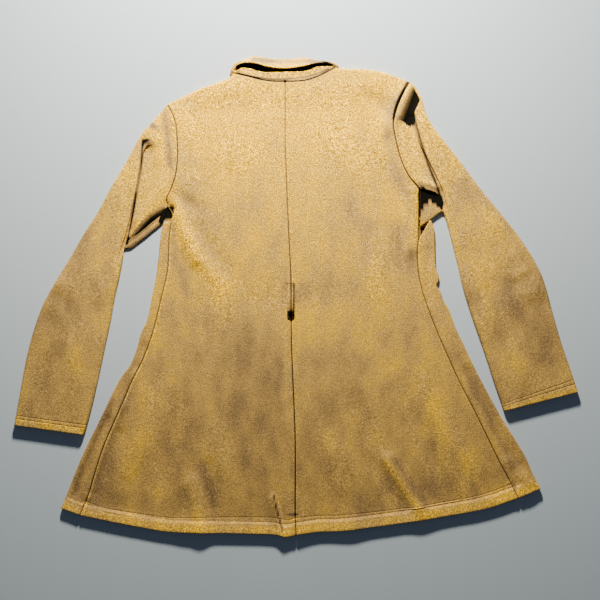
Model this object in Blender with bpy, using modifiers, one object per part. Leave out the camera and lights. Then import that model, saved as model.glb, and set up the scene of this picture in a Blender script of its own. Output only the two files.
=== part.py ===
"""A faux suede coat laid face down, so that its back shows.

The coat's frame: +X is to the right as it is seen from above, +Y runs from the waist to the collar,
+Z is up from the surface that the fronts lie on. The origin is on that surface, under the centre back
seam at the waist. Lengths below are in millimetres, and they become metres when a mesh is made.
"""

import math
from collections import namedtuple

import bmesh
import bpy
from mathutils import Vector

MILLIMETRE = 0.001
WALL = 1.3  # bonded suede cloth
SEAM_GAP = 0.36  # between neighbouring pieces, measured across the seam
RELEASE = 0.2  # half the gap between the edges that meet at the shoulder fold

# Heights of the outer face of the back over the surface
BACK_HEIGHT = 5.8
HEM_LIFT = 3.2  # the turned-up hem holds the back off the fronts
HEM_DEPTH = 32.0
NECK_LIFT = 3.6  # the collar's seam stands higher than the back
NECK_DEPTH = 55.0
NECK_TOP = 392.0
NECK_REACH = 210.0  # from the middle to where the collar lifts nothing
NECK_FADE = 60.0
LOWEST_TOP = 3.4  # no fold presses the upper layer lower than this

# The fronts overlap at the middle, the right front nearest the surface
FRONT_OVERLAP = 20.0
OVERLAP_FLAT = 44.0  # the left front is level this far across the middle, then it slopes down
OVERLAP_RAMP = 16.0
OVERLAP_LIFT = WALL + 0.4
FRONT_HEM_RISE = 3.0  # the fronts end just above the hem of the back
HEM_CURVE_FADE = 3  # power of the distance to the hem
FOLD_INSET = 4.0  # the side fold takes its radius from the height this far inside it

# The upper layer rolls down to an edge in these steps: distance from the edge, share of the drop
RollStep = namedtuple("RollStep", "distance drop")
ROLL = (
    RollStep(0.0, 0.70),
    RollStep(0.8, 0.34),
    RollStep(2.4, 0.10),
    RollStep(5.0, 0.0),
)
LAND = 3.0  # flat strip beside each seam

# Seams and edges of the body, seen from above
Point = namedtuple("Point", "x y")
CENTRE_SEAM = (
    Point(9.0, -420.3),
    Point(7.7, -381.6),
    Point(7.7, -252.0),
    Point(1.3, -90.0),
    Point(0.5, -34.0),
    Point(0.0, 41.4),
    Point(-3.6, 113.4),
    Point(-7.9, 216.0),
    Point(-10.1, 286.0),
    Point(-10.1, 391.3),
)
HEM = (
    Point(-412.6, -374.4),
    Point(-378.0, -385.2),
    Point(-319.3, -397.8),
    Point(-271.8, -406.8),
    Point(-223.2, -414.9),
    Point(-145.8, -417.6),
    Point(-34.2, -420.1),
    Point(-5.4, -423.7),
    Point(10.8, -420.1),
    Point(48.6, -415.8),
    Point(90.0, -414.0),
    Point(153.9, -406.3),
    Point(217.8, -397.1),
    Point(295.2, -384.5),
    Point(354.6, -372.6),
    Point(406.8, -354.6),
    Point(448.5, -339.0),
)
NECK_LEFT = (
    Point(-10.1, 391.3),
    Point(-32.4, 391.5),
    Point(-53.1, 394.2),
    Point(-75.6, 400.0),
    Point(-97.2, 405.6),
    Point(-108.0, 399.6),
)
NECK_RIGHT = (
    Point(-10.1, 391.3),
    Point(7.2, 391.5),
    Point(27.9, 393.7),
    Point(47.7, 400.3),
    Point(62.1, 407.3),
    Point(76.9, 415.0),
    Point(86.4, 414.9),
)
SHOULDER_LEFT = (
    Point(-108.0, 399.6),
    Point(-114.3, 396.0),
    Point(-171.7, 375.3),
    Point(-222.1, 351.0),
)
SHOULDER_RIGHT = (
    Point(86.4, 414.9),
    Point(134.1, 413.3),
    Point(168.5, 407.5),
    Point(191.5, 399.6),
    Point(213.3, 391.0),
)
ARMHOLE_LEFT = (
    Point(-222.1, 351.0),
    Point(-211.9, 331.7),
    Point(-206.1, 311.4),
    Point(-203.8, 280.8),
    Point(-203.4, 253.8),
    Point(-207.0, 223.9),
    Point(-215.3, 198.5),
    Point(-223.0, 182.0),
    Point(-222.0, 166.0),
)
ARMHOLE_RIGHT = (
    Point(213.3, 391.0),
    Point(200.7, 369.7),
    Point(189.0, 342.0),
    Point(183.6, 321.5),
    Point(184.7, 303.1),
    Point(191.5, 270.9),
    Point(200.7, 243.4),
    Point(212.2, 220.5),
    Point(229.4, 200.0),
)
SIDE_SEAM_LEFT = (
    Point(-378.0, -385.2),
    Point(-364.3, -352.8),
    Point(-348.3, -298.8),
    Point(-335.5, -261.0),
    Point(-304.2, -189.9),
    Point(-286.2, -147.6),
    Point(-265.5, -105.5),
    Point(-248.9, -61.2),
    Point(-230.4, 12.6),
    Point(-221.4, 54.0),
    Point(-218.7, 109.8),
    Point(-215.1, 143.0),
    Point(-215.5, 156.0),
    Point(-222.0, 166.0),
)
SIDE_SEAM_RIGHT = (
    Point(406.8, -354.6),
    Point(399.6, -338.4),
    Point(369.5, -280.8),
    Point(333.7, -207.0),
    Point(301.3, -144.0),
    Point(267.5, -68.4),
    Point(251.5, -28.8),
    Point(237.6, 10.8),
    Point(230.0, 43.2),
    Point(226.8, 84.6),
    Point(229.1, 112.0),
    Point(230.4, 156.6),
    Point(229.4, 200.0),
)
SIDE_FOLD_LEFT = (
    Point(-412.6, -374.4),
    Point(-398.2, -338.4),
    Point(-385.2, -304.2),
    Point(-362.7, -253.8),
    Point(-344.7, -217.8),
    Point(-307.8, -143.0),
    Point(-288.0, -115.2),
    Point(-277.2, -88.2),
    Point(-269.3, -59.4),
    Point(-258.0, -34.2),
    Point(-248.9, 9.0),
    Point(-243.0, 37.8),
    Point(-238.1, 74.7),
    Point(-234.7, 109.8),
    Point(-229.5, 139.5),
)
SIDE_FOLD_RIGHT = (
    Point(448.5, -339.0),
    Point(433.8, -311.4),
    Point(418.9, -277.2),
    Point(379.8, -214.2),
    Point(341.5, -144.0),
    Point(322.2, -106.2),
    Point(309.6, -78.5),
    Point(295.2, -48.6),
    Point(283.7, -17.3),
    Point(273.6, 0.0),
    Point(268.4, 16.0),
    Point(262.0, 25.0),
    Point(266.2, 38.0),
    Point(260.5, 59.4),
    Point(258.8, 91.8),
    Point(257.4, 128.0),
    Point(251.5, 142.7),
)
FRONT_NECK_LEFT = (
    Point(20.0, 379.0),
    Point(-9.0, 379.0),
    Point(-42.0, 383.0),
    Point(-62.0, 389.0),
    Point(-86.0, 396.0),
    Point(-106.0, 399.2),
)
FRONT_NECK_RIGHT = (
    Point(-20.0, 379.3),
    Point(-9.0, 379.0),
    Point(20.0, 381.0),
    Point(42.0, 390.0),
    Point(62.0, 401.0),
    Point(84.0, 414.2),
)
UNDERARM_LEFT = Point(-229.5, 139.5)
UNDERARM_RIGHT = Point(251.5, 142.7)
STRIP_TOP_LEFT = 0.952  # how far up the side seam the fronts reach, the rest is the back's free edge
STRIP_TOP_RIGHT = 0.842

# Ridges (height over 0) and troughs (under 0) of the upper layer, from end to end
Fold = namedtuple("Fold", "x0 y0 x1 y1 width height")
BODY_FOLDS = (
    Fold(-212.0, 173.0, -173.0, 72.0, 13.0, 2.6),
    Fold(-300.0, -189.0, -362.0, -351.0, 9.0, 2.2),
    Fold(-310.0, -240.0, -352.0, -345.0, 12.0, -2.0),
    Fold(-176.0, -330.0, -160.0, -420.0, 15.0, 3.2),
    Fold(-150.0, -300.0, -135.0, -370.0, 14.0, -1.6),
    Fold(-30.6, -356.0, -14.0, -424.0, 8.0, 2.6),
    Fold(172.0, -285.0, 228.0, -372.0, 12.0, 3.4),
    Fold(150.0, -290.0, 205.0, -380.0, 14.0, -1.6),
    Fold(218.0, 195.0, 214.0, 95.0, 14.0, 3.2),
    Fold(-190.0, -405.0, -185.0, -425.0, 24.0, 1.6),
    Fold(8.0, -395.0, 8.0, -425.0, 26.0, 1.8),
    Fold(108.0, -395.0, 108.0, -425.0, 24.0, 1.4),
    Fold(232.0, -380.0, 234.0, -405.0, 24.0, 1.8),
    Fold(421.0, -320.0, 425.0, -355.0, 18.0, 1.4),
    Fold(-205.0, 320.0, -198.0, 215.0, 26.0, 2.4),
    Fold(196.0, 372.0, 176.0, 316.0, 16.0, 3.0),
    Fold(188.0, 300.0, 210.0, 225.0, 24.0, 2.4),
    Fold(-263.0, -83.0, -276.0, -120.0, 8.0, -1.6),
    Fold(-330.0, -215.0, -385.0, -345.0, 9.0, -1.8),
    Fold(245.0, 90.0, 246.0, 0.0, 8.0, -1.4),
    Fold(320.0, -130.0, 405.0, -300.0, 12.0, -2.2),
    Fold(390.0, -290.0, 425.0, -325.0, 10.0, 2.2),
    Fold(-222.0, 170.0, -219.0, 164.0, 9.0, -4.6),
)

# Sleeve sections, from the armhole to the cuff: outer edge, inner edge of the upper layer, edge of the
# lower layer, how far the armhole's curve still shows, where the tuck's step lies across, how much of
# the step there is, how far the section is a plain tube, and the height of the upper layer
SleeveRow = namedtuple(
    "SleeveRow", "outer_x outer_y inner_x inner_y low_x low_y bulge fold tuck plain height"
)
SLEEVE_LEFT = (
    SleeveRow(-222.1, 351.0, -222.0, 166.0, -229.5, 139.5, 1.0, 0.22, 0.0, 0.0, 9.0),
    SleeveRow(-236.0, 334.0, -235.0, 155.0, -238.0, 131.5, 0.75, 0.20, 0.0, 0.0, 8.6),
    SleeveRow(-252.0, 314.5, -245.0, 147.0, -248.0, 123.5, 0.45, 0.16, 0.5, 0.0, 10.2),
    SleeveRow(-266.5, 299.5, -254.0, 139.0, -257.5, 115.5, 0.12, 0.19, 1.0, 0.0, 10.4),
    SleeveRow(-281.0, 274.0, -263.0, 131.0, -267.0, 108.0, 0.0, 0.40, 1.0, 0.0, 10.4),
    SleeveRow(-300.0, 239.0, -273.0, 123.0, -277.0, 100.5, 0.0, 0.61, 1.0, 0.0, 10.4),
    SleeveRow(-322.0, 203.0, -284.0, 115.0, -287.5, 93.0, 0.0, 0.80, 1.0, 0.0, 10.4),
    SleeveRow(-344.0, 162.0, -296.0, 101.0, -299.5, 90.0, 0.0, 0.92, 1.0, 0.0, 10.2),
    SleeveRow(-370.0, 121.0, -300.0, 79.0, -303.0, 75.5, 0.0, 0.88, 0.4, 0.7, 9.8),
    SleeveRow(-396.0, 76.0, -306.5, 48.0, -309.0, 46.0, 0.0, 0.84, 0.0, 1.0, 10.0),
    SleeveRow(-420.0, 36.0, -315.0, 10.0, -317.0, 9.0, 0.0, 0.84, 0.0, 1.0, 10.4),
    SleeveRow(-443.7, -6.3, -323.0, -34.0, -325.0, -35.0, 0.0, 0.84, 0.0, 1.0, 9.6),
    SleeveRow(-459.0, -47.0, -332.0, -76.0, -334.0, -77.0, 0.0, 0.84, 0.0, 1.0, 10.2),
    SleeveRow(-473.0, -98.0, -342.5, -126.0, -344.5, -126.5, 0.0, 0.84, 0.0, 1.0, 9.4),
    SleeveRow(-483.5, -155.0, -354.0, -177.0, -356.0, -177.5, 0.0, 0.84, 0.0, 1.0, 9.8),
    SleeveRow(-492.5, -206.0, -366.0, -223.5, -368.0, -224.0, 0.0, 0.84, 0.0, 1.0, 10.4),
    SleeveRow(-496.4, -223.9, -371.9, -241.6, -374.0, -241.6, 0.0, 0.84, 0.0, 1.0, 10.8),
)
SLEEVE_RIGHT = (
    SleeveRow(213.3, 391.0, 229.4, 200.0, 251.5, 145.5, 1.0, 0.22, 0.0, 0.0, 9.0),
    SleeveRow(217.5, 388.0, 233.0, 199.0, 255.2, 146.8, 1.0, 0.22, 0.0, 0.0, 9.4),
    SleeveRow(226.0, 379.0, 239.0, 197.5, 257.0, 147.8, 0.85, 0.20, 0.0, 0.0, 9.0),
    SleeveRow(235.0, 360.0, 245.0, 196.0, 259.0, 149.2, 0.70, 0.20, 1.0, 0.0, 10.4),
    SleeveRow(241.0, 337.0, 250.5, 195.0, 261.0, 150.8, 0.50, 0.34, 1.0, 0.0, 10.6),
    SleeveRow(254.0, 311.5, 256.0, 193.0, 263.0, 152.4, 0.25, 0.52, 1.0, 0.0, 10.6),
    SleeveRow(275.0, 284.5, 261.0, 190.5, 265.0, 154.2, 0.10, 0.72, 1.0, 0.0, 10.6),
    SleeveRow(303.0, 249.0, 266.5, 183.0, 267.6, 156.0, 0.0, 0.84, 1.0, 0.0, 10.4),
    SleeveRow(334.0, 207.0, 271.5, 169.0, 271.2, 157.4, 0.0, 0.90, 1.0, 0.0, 10.2),
    SleeveRow(362.0, 172.5, 277.5, 147.0, 276.3, 146.0, 0.0, 0.90, 0.4, 0.7, 9.8),
    SleeveRow(386.0, 143.0, 288.5, 104.0, 290.0, 102.5, 0.0, 0.84, 0.0, 1.0, 10.2),
    SleeveRow(408.0, 114.5, 297.5, 69.0, 299.5, 67.5, 0.0, 0.84, 0.0, 1.0, 9.8),
    SleeveRow(424.0, 91.0, 307.0, 27.0, 309.0, 26.0, 0.0, 0.84, 0.0, 1.0, 10.4),
    SleeveRow(437.0, 70.0, 320.0, -15.0, 322.0, -16.0, 0.0, 0.84, 0.0, 1.0, 9.4),
    SleeveRow(452.0, 38.0, 333.0, -53.0, 335.0, -54.0, 0.0, 0.84, 0.0, 1.0, 10.6),
    SleeveRow(466.0, -12.0, 347.0, -93.0, 349.0, -94.0, 0.0, 0.84, 0.0, 1.0, 9.6),
    SleeveRow(484.2, -75.0, 362.0, -140.0, 364.0, -140.0, 0.0, 0.84, 0.0, 1.0, 10.0),
    SleeveRow(504.0, -133.0, 376.0, -181.0, 378.0, -181.0, 0.0, 0.84, 0.0, 1.0, 10.4),
    SleeveRow(514.4, -164.7, 381.6, -198.9, 383.6, -198.9, 0.0, 0.84, 0.0, 1.0, 10.8),
)
TUCK_ROLL = 1.9  # radius of the cloth's outer face round the tuck's edge
WEB_DEPTH = 4.5  # how far the cloth beyond the tuck lies under the top
LONG_WEB_DEPTH = 5.5
WEB_END_DEPTH = 1.6
LONG_WEB = 40.0
LEAST_SLANT = 0.3
OPEN_ROOM = 1.5  # least width beyond the fold, in widths of the open tuck
FIRST_PIT_STEP = 3  # the tuck's steps from here on lie in the sleeve's pits
LIP_HEIGHT = 3.6  # the lower layer's edge is cloth folded on itself
SEAM_MATCH = (1.0, 0.55, 0.2)  # how much the first sections keep the back's height
SLEEVE_TURN = 5.0  # width of the roll along the sleeve's inner edge

# The tuck's points where it is open and where it is a step: how far past the fold, and how far under
# the top
TuckStep = namedtuple("TuckStep", "past under")
TUCK_OPEN = (
    TuckStep(0.0, 0.0),
    TuckStep(9.0, 0.0),
    TuckStep(18.0, 0.0),
    TuckStep(27.0, 0.0),
    TuckStep(36.0, 0.0),
)
TUCK_CLOSED = (
    TuckStep(-TUCK_ROLL, 0.0),
    TuckStep(0.0, TUCK_ROLL),
    TuckStep(0.0, 2 * TUCK_ROLL),
    TuckStep(0.7, WEB_DEPTH - 0.2),
    TuckStep(3.7, WEB_DEPTH),
)

# The sleeve's inner edge, from the upper layer's edge to the lower layer's. Each step has its distance
# from one of the two edges, at most what share of the way that is, how much of the drop from the upper
# layer to the lip is left, the share of the lip's height, and whether it starts from the lower edge.
LipStep = namedtuple("LipStep", "distance most drop height from_low")
LIP = (
    LipStep(1.6, 0.2, 0.62, 1.0, False),
    LipStep(5.0, 0.4, 0.12, 1.0, False),
    LipStep(1.7, 0.3, 0.0, 1.0, True),
    LipStep(0.0, 0.0, 0.0, 0.5, True),
    LipStep(1.7, 0.3, 0.0, 0.0, True),
)
SLEEVE_FOLDS_LEFT = (
    Fold(-219.0, 315.0, -219.0, 232.0, 9.0, -2.2),
    Fold(-248.0, 308.0, -240.0, 250.0, 9.0, 1.6),
    Fold(-230.0, 200.0, -280.0, 140.0, 9.0, 1.6),
    Fold(-425.0, 10.0, -395.0, -15.0, 9.0, -2.0),
)
SLEEVE_FOLDS_RIGHT = (
    Fold(215.0, 385.0, 190.0, 322.0, 7.0, 3.4),
    Fold(222.0, 214.0, 262.0, 203.0, 8.0, 2.4),
    Fold(432.0, 45.0, 405.0, 30.0, 9.0, -2.0),
)
SLEEVE_PITS_LEFT = (Fold(-217.0, 335.0, -217.0, 330.0, 7.0, -1.0),)
SLEEVE_PITS_RIGHT = (Fold(217.0, 354.0, 212.0, 336.0, 13.0, -8.0),)

# The collar stands round the neck opening. Its near side is sewn to the back's neck edge, and its
# inner wall ends NEAR_FOOT over the surface. Its far side slopes from the rim to the surface.
NEAR_FOOT = 3.3
NEAR_RIM_HEIGHT = 10.8
NEAR_WALL = 1.6  # how far the inner wall stands past the rim
NEAR_RIM = (
    Point(-94.0, 411.0),
    Point(-84.6, 415.4),
    Point(-73.8, 414.6),
    Point(-63.0, 408.8),
    Point(-50.0, 406.6),
    Point(-9.0, 407.0),
    Point(29.5, 409.2),
    Point(40.0, 415.6),
    Point(56.0, 416.4),
    Point(72.0, 417.2),
)
CollarRow = namedtuple(
    "CollarRow", "base_x base_y base_z rim_x rim_y rim_z end_x end_y end_z"
)
FAR_SIDE = (
    CollarRow(87.0, 418.0, 4.0, 77.0, 419.0, 10.8, 73.0, 419.3, 3.0),
    CollarRow(81.0, 426.0, 1.4, 72.0, 421.6, 11.4, 68.0, 419.6, 2.2),
    CollarRow(71.0, 428.6, 1.4, 66.0, 423.4, 11.8, 61.0, 404.6, WALL),
    CollarRow(60.3, 430.0, 1.4, 57.5, 424.0, 12.2, 53.0, 399.0, WALL),
    CollarRow(48.2, 430.6, 1.4, 44.5, 423.4, 12.6, 42.0, 391.6, WALL),
    CollarRow(27.4, 435.8, 1.4, 22.0, 418.2, 13.2, 20.0, 382.4, WALL),
    CollarRow(-9.0, 433.2, 1.4, -9.0, 414.0, 13.6, -9.0, 380.4, WALL),
    CollarRow(-38.2, 434.8, 1.4, -40.0, 416.8, 13.6, -42.0, 384.6, WALL),
    CollarRow(-65.2, 439.0, 1.4, -65.2, 423.4, 13.2, -62.0, 391.0, WALL),
    CollarRow(-86.0, 431.4, 1.4, -85.0, 424.0, 12.6, -80.0, 399.0, WALL),
    CollarRow(-101.5, 425.5, 1.4, -96.4, 419.4, 12.0, -91.0, 411.0, WALL),
    CollarRow(-107.6, 414.6, 1.4, -101.6, 414.2, 11.6, -97.5, 413.4, 1.6),
    CollarRow(-109.4, 404.6, 4.0, -102.8, 410.2, 11.2, -100.0, 412.4, 2.4),
    CollarRow(-104.0, 402.9, 8.0, -99.8, 408.8, 10.8, -98.0, 411.4, NEAR_FOOT),
)
RIM_ROUND = 2.4
RIM_OUTSIDE_DROP = 0.48
RIM_INSIDE = 1.44
RIM_INSIDE_DROP = 1.2
FAR_WALL = 2.2
COLLAR_CLOTH = 1.05
NEAR_SLOPE = 0.35
STEEP_END_GAP = 0.8  # more room where the collar leans over the seam
FAR_FOOT_RISE = 1.2

# The belt loop, sewn down at both ends over the centre back seam
LOOP_X = -0.5
LOOP_WIDTH = 12.6
LOOP_WALL = 2.2
LOOP_CLEARANCE = 0.3
LoopStep = namedtuple("LoopStep", "y rise")
LOOP_PROFILE = (
    LoopStep(32.4, 0.0),
    LoopStep(27.5, 0.0),
    LoopStep(18.0, 1.2),
    LoopStep(4.0, 4.4),
    LoopStep(-8.0, 5.2),
    LoopStep(-17.0, 5.2),
    LoopStep(-21.5, 4.0),
    LoopStep(-25.5, 1.4),
    LoopStep(-28.0, 0.0),
    LoopStep(-31.8, 0.0),
)

# Rows and columns of the meshes
UNDERARM_SHARE = 0.73  # of the back's length, from the hem
HEM_LAND = 0.012  # shares of the side seam
FIRST_ROW = 0.05
HEM_ROWS = 13
FREE_EDGE_ROWS = 3
NECK_COLUMNS = (0.08, 0.17, 0.26, 0.35, 0.40)
BACK_COLUMNS = (*NECK_COLUMNS, 0.44, 0.53, 0.62, 0.71, 0.80, 0.88, 0.945)
FRONT_COLUMNS = (0.44, 0.53, 0.62, 0.71, 0.80, 0.88, 0.945)
FOLD_TURNS = (30.0, 60.0, 90.0, 120.0, 150.0)
TOP_POINTS = 4
WEB_POINTS = 3
BOTTOM_POINTS = 5
NECK_LAND = 0.0008  # shares of the coat's length
FREE_EDGE_DROP = 2.6
SIDE_LAND = 1.6
FRONT_COLUMN_LEAD = 0.11  # shares of the top edge before the first column beside the overlap
FRONT_NECK_LAND = 0.003
FRONT_NECK_BLEND = 0.125  # share of the shoulder where the front's edge leaves the back's
NECK_ROLL_START = 0.02  # shares of the top edge, where the shoulder fold's roll begins
NECK_ROLL_BLEND = 0.06
FREE_EDGE_START = 0.05  # shares of the side seam
FREE_EDGE_END = 0.03

TAN = (0.43, 0.27, 0.12)
LIGHT_TAN = (0.47, 0.31, 0.15)
ROUGHNESS = 0.95


class Path:
    """A smooth curve through points, measured from 0 to 1 along its chords."""

    def __init__(self, points):
        self.points = [Vector(point) for point in points]
        lengths = [0.0]
        for start, end in zip(self.points, self.points[1:]):
            lengths.append(lengths[-1] + (end - start).length)
        self.length = lengths[-1]
        self.marks = [length / self.length for length in lengths]

    def slope(self, index):
        before = max(index - 1, 0)
        after = min(index + 1, len(self.points) - 1)
        rise = self.points[after] - self.points[before]
        return rise / (self.marks[after] - self.marks[before])

    def at(self, share):
        share = min(max(share, 0.0), 1.0)
        index = 0
        while index < len(self.marks) - 2 and share > self.marks[index + 1]:
            index += 1
        span = self.marks[index + 1] - self.marks[index]
        t = (share - self.marks[index]) / span
        start, end = self.points[index], self.points[index + 1]
        leave, arrive = self.slope(index) * span, self.slope(index + 1) * span
        return (
            start * (2 * t**3 - 3 * t**2 + 1)
            + leave * (t**3 - 2 * t**2 + t)
            + end * (3 * t**2 - 2 * t**3)
            + arrive * (t**3 - t**2)
        )


def mix(low, high, share):
    return low + (high - low) * share


def ease(share):
    share = min(max(share, 0.0), 1.0)
    return share * share * (3 - 2 * share)


def height_over(points, x):
    """The y of an edge that runs across the coat, at x."""
    for start, end in zip(points, points[1:]):
        if x <= end.x:
            break
    share = min(max((x - start.x) / (end.x - start.x), 0.0), 1.0)
    return mix(start.y, end.y, share)


def relief(x, y, folds):
    """The height that ridges and troughs add at a place."""
    total = 0.0
    place = Vector((x, y))
    for fold in folds:
        start = Vector((fold.x0, fold.y0))
        along = Vector((fold.x1, fold.y1)) - start
        share = min(max((place - start).dot(along) / along.length_squared, 0.0), 1.0)
        away = (place - start - along * share).length
        total += fold.height * math.exp(-((away / fold.width) ** 2))
    return total


def coat_height(x, y):
    """The height of the back's outer face, and of the fronts where they turn onto the back."""
    hem = HEM_LIFT * ease(1 - (y - height_over(HEM, x)) / HEM_DEPTH)
    neck = NECK_LIFT * ease(1 - (NECK_TOP - y) / NECK_DEPTH)
    neck *= ease((NECK_REACH - abs(x)) / NECK_FADE)
    return max(BACK_HEIGHT + hem + neck + relief(x, y, BODY_FOLDS), LOWEST_TOP)


def material(name, colour, roughness):
    made = bpy.data.materials.new(name)
    made.use_nodes = True
    shader = made.node_tree.nodes["Principled BSDF"]
    shader.inputs["Base Color"].default_value = (*colour, 1.0)
    shader.inputs["Roughness"].default_value = roughness
    shader.inputs["Metallic"].default_value = 0.0
    return made


def cloth_object(name, rows, collection, finish, ring=False, around=False, flip=False, wall=WALL):
    """A cloth wall whose outer face runs through rows of points; None marks a place with no cloth.

    ring joins each row's end to its start, around joins the last row to the first, and flip turns
    the outer face to the other side.
    """
    mesh_data = bmesh.new()
    corners = [
        [mesh_data.verts.new(point * MILLIMETRE) if point else None for point in row]
        for row in rows
    ]
    bands = list(zip(corners, corners[1:]))
    if around:
        bands.append((corners[-1], corners[0]))
    for low, high in bands:
        count = len(low)
        for index in range(count if ring else count - 1):
            face = [low[index], low[(index + 1) % count], high[(index + 1) % count], high[index]]
            if None in face:
                continue
            mesh_data.faces.new(reversed(face) if flip else face)
    bmesh.ops.triangulate(mesh_data, faces=mesh_data.faces)
    mesh = bpy.data.meshes.new(name)
    mesh_data.to_mesh(mesh)
    mesh_data.free()
    mesh.shade_smooth()
    mesh.materials.append(finish)
    piece = bpy.data.objects.new(name, mesh)
    collection.objects.link(piece)
    solidify = piece.modifiers.new("cloth", "SOLIDIFY")
    solidify.thickness = wall * MILLIMETRE
    solidify.offset = -1.0
    solidify.use_even_offset = False
    return piece


def coons(bottom, top, near, far, across, up):
    """A place inside four edges: bottom and top run across, near and far run up."""
    corners = (
        bottom(0) * (1 - across) * (1 - up)
        + bottom(1) * across * (1 - up)
        + top(0) * (1 - across) * up
        + top(1) * across * up
    )
    edges = (
        bottom(across) * (1 - up)
        + top(across) * up
        + near(up) * (1 - across)
        + far(up) * across
    )
    return edges - corners


def armhole_shares(span):
    """Where points lie along the armhole, from the shoulder to the underarm."""
    shares = [0.0] + [step.distance / span for step in ROLL]
    first, fold = shares[-1], SLEEVE_LEFT[0].fold
    shares += [mix(first, fold, index / TOP_POINTS) for index in range(1, TOP_POINTS)]
    shares += [fold + step.past / span for step in TUCK_OPEN]
    last = shares[-1]
    shares += [mix(last, 1.0, index / WEB_POINTS) for index in range(1, WEB_POINTS + 1)]
    return shares


def lower_shares(span):
    """Where the lower layer's points lie along the armhole, from the shoulder to the underarm."""
    shares = [0.0] + [step.distance / span for step in ROLL]
    first = shares[-1]
    shares += [mix(first, 1.0, index / BOTTOM_POINTS) for index in range(1, BOTTOM_POINTS + 1)]
    return shares


def roll_drops(count):
    """How far each row has rolled down to the shoulder fold, from the fold inward."""
    drops = [1.0] + [step.drop for step in ROLL]
    return drops + [0.0] * (count - len(drops))


class Side:
    """The curves of one side of the coat, left or right as it is seen from above."""

    def __init__(self, name):
        left = name == "left"
        self.name = name
        self.sign = -1 if left else 1
        self.centre = Path(CENTRE_SEAM)
        self.neck = Path(NECK_LEFT if left else NECK_RIGHT)
        self.shoulder = Path(SHOULDER_LEFT if left else SHOULDER_RIGHT)
        self.armhole = Path(ARMHOLE_LEFT if left else ARMHOLE_RIGHT)
        self.seam = Path(SIDE_SEAM_LEFT if left else SIDE_SEAM_RIGHT)
        self.fold = Path(SIDE_FOLD_LEFT if left else SIDE_FOLD_RIGHT)
        self.front_neck = Path(FRONT_NECK_LEFT if left else FRONT_NECK_RIGHT)
        self.underarm = Vector(UNDERARM_LEFT if left else UNDERARM_RIGHT)
        self.strip_top = STRIP_TOP_LEFT if left else STRIP_TOP_RIGHT
        self.free_edge_drop = 0.0 if left else FREE_EDGE_DROP
        self.sleeve = SLEEVE_LEFT if left else SLEEVE_RIGHT
        self.sleeve_folds = SLEEVE_FOLDS_LEFT if left else SLEEVE_FOLDS_RIGHT
        self.sleeve_pits = SLEEVE_PITS_LEFT if left else SLEEVE_PITS_RIGHT
        start, end = self.centre.points[0], self.seam.points[0]
        between = [point for point in HEM if start.x + 1 < point.x < end.x - 1]
        if left:
            between = [point for point in HEM if end.x + 1 < point.x < start.x - 1][::-1]
        self.hem = Path([start, *between, end])
        self.neck_share = self.neck.length / (self.neck.length + self.shoulder.length)
        self.armhole_span = (self.armhole.at(1) - self.armhole.at(0)).length
        self.low_end = Vector((self.sleeve[0].low_x, self.sleeve[0].low_y))
        self.low_span = (self.low_end - self.armhole.at(0)).length

    def seam_rows(self):
        """Rows from the hem to the top of the front's strip, as shares of the side seam."""
        shares = [0.0, HEM_LAND]
        for index in range(HEM_ROWS):
            shares.append(mix(FIRST_ROW, self.strip_top, index / (HEM_ROWS - 1)))
        return shares

    def top_edge(self, share):
        if share < self.neck_share:
            return self.neck.at(share / self.neck_share)
        return self.shoulder.at((share - self.neck_share) / (1 - self.neck_share))

    def front_top_edge(self, share):
        if share < self.neck_share:
            return self.front_neck.at(share / self.neck_share)
        over = (share - self.neck_share) / (1 - self.neck_share)
        apart = self.front_neck.points[-1] - self.shoulder.at(0)
        return apart * (1 - ease(over / FRONT_NECK_BLEND)) + self.shoulder.at(over)

    def side_edge(self, up):
        if up < UNDERARM_SHARE:
            return self.seam.at(up / UNDERARM_SHARE)
        return self.armhole.at(1 - (up - UNDERARM_SHARE) / (1 - UNDERARM_SHARE))

    def shoulder_roll(self, share):
        """How much of the shoulder fold's roll an edge has, none along the neck."""
        return ease((share - self.neck_share + NECK_ROLL_START) / NECK_ROLL_BLEND)

    def free_edge(self, up):
        """How far the back's edge rolls down above the front's strip."""
        share = up / UNDERARM_SHARE
        drop = ease((share - self.strip_top) / FREE_EDGE_START)
        drop *= ease((1 - share) / FREE_EDGE_END)
        return self.free_edge_drop * drop

    def armhole_bend(self, share):
        """How far the armhole lies from a straight line between its ends."""
        return self.armhole.at(share) - mix(self.armhole.at(0), self.armhole.at(1), share)

    def front_armhole(self, share):
        """The armhole in the lower layer, from the shoulder to the underarm."""
        return mix(self.armhole.at(0), self.low_end, share) + self.armhole_bend(share)

    def back_place(self, across, up):
        """A place on the back, inside its seam gaps."""
        place = coons(self.hem.at, self.top_edge, self.centre.at, self.side_edge, across, up)
        return place + Vector((self.sign * SEAM_GAP / 2 * (1 - 2 * across), 0))


def back_panel(side, collection, finish):
    shares = armhole_shares(side.armhole_span)
    above = [
        mix(side.strip_top, 1.0, index / FREE_EDGE_ROWS) for index in range(1, FREE_EDGE_ROWS)
    ]
    rows = [(UNDERARM_SHARE * share, 0.0) for share in side.seam_rows() + above]
    for share, drop in reversed(list(zip(shares, roll_drops(len(shares))))):
        rows.append((1 - (1 - UNDERARM_SHARE) * share, drop))
    grid = []
    for up, drop in rows:
        neck_land = NECK_LAND if drop == ROLL[0].drop else 0.0
        line = []
        for across in (0.0, *BACK_COLUMNS, 1.0):
            roll = side.shoulder_roll(across)
            place = side.back_place(across, up - neck_land * (1 - roll))
            top = coat_height(place.x, place.y)
            z = mix(top, top / 2 + RELEASE, roll * drop)
            if across == 1.0:
                z -= side.free_edge(up)
            line.append(Vector((*place, z)))
        line.insert(1, line[0] + Vector((side.sign * LAND, 0, 0)))
        line.insert(-1, line[-1] - Vector((side.sign * SIDE_LAND, 0, 0)))
        grid.append(line)
    return cloth_object(f"back_{side.name}", grid, collection, finish, flip=side.sign < 0)


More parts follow.
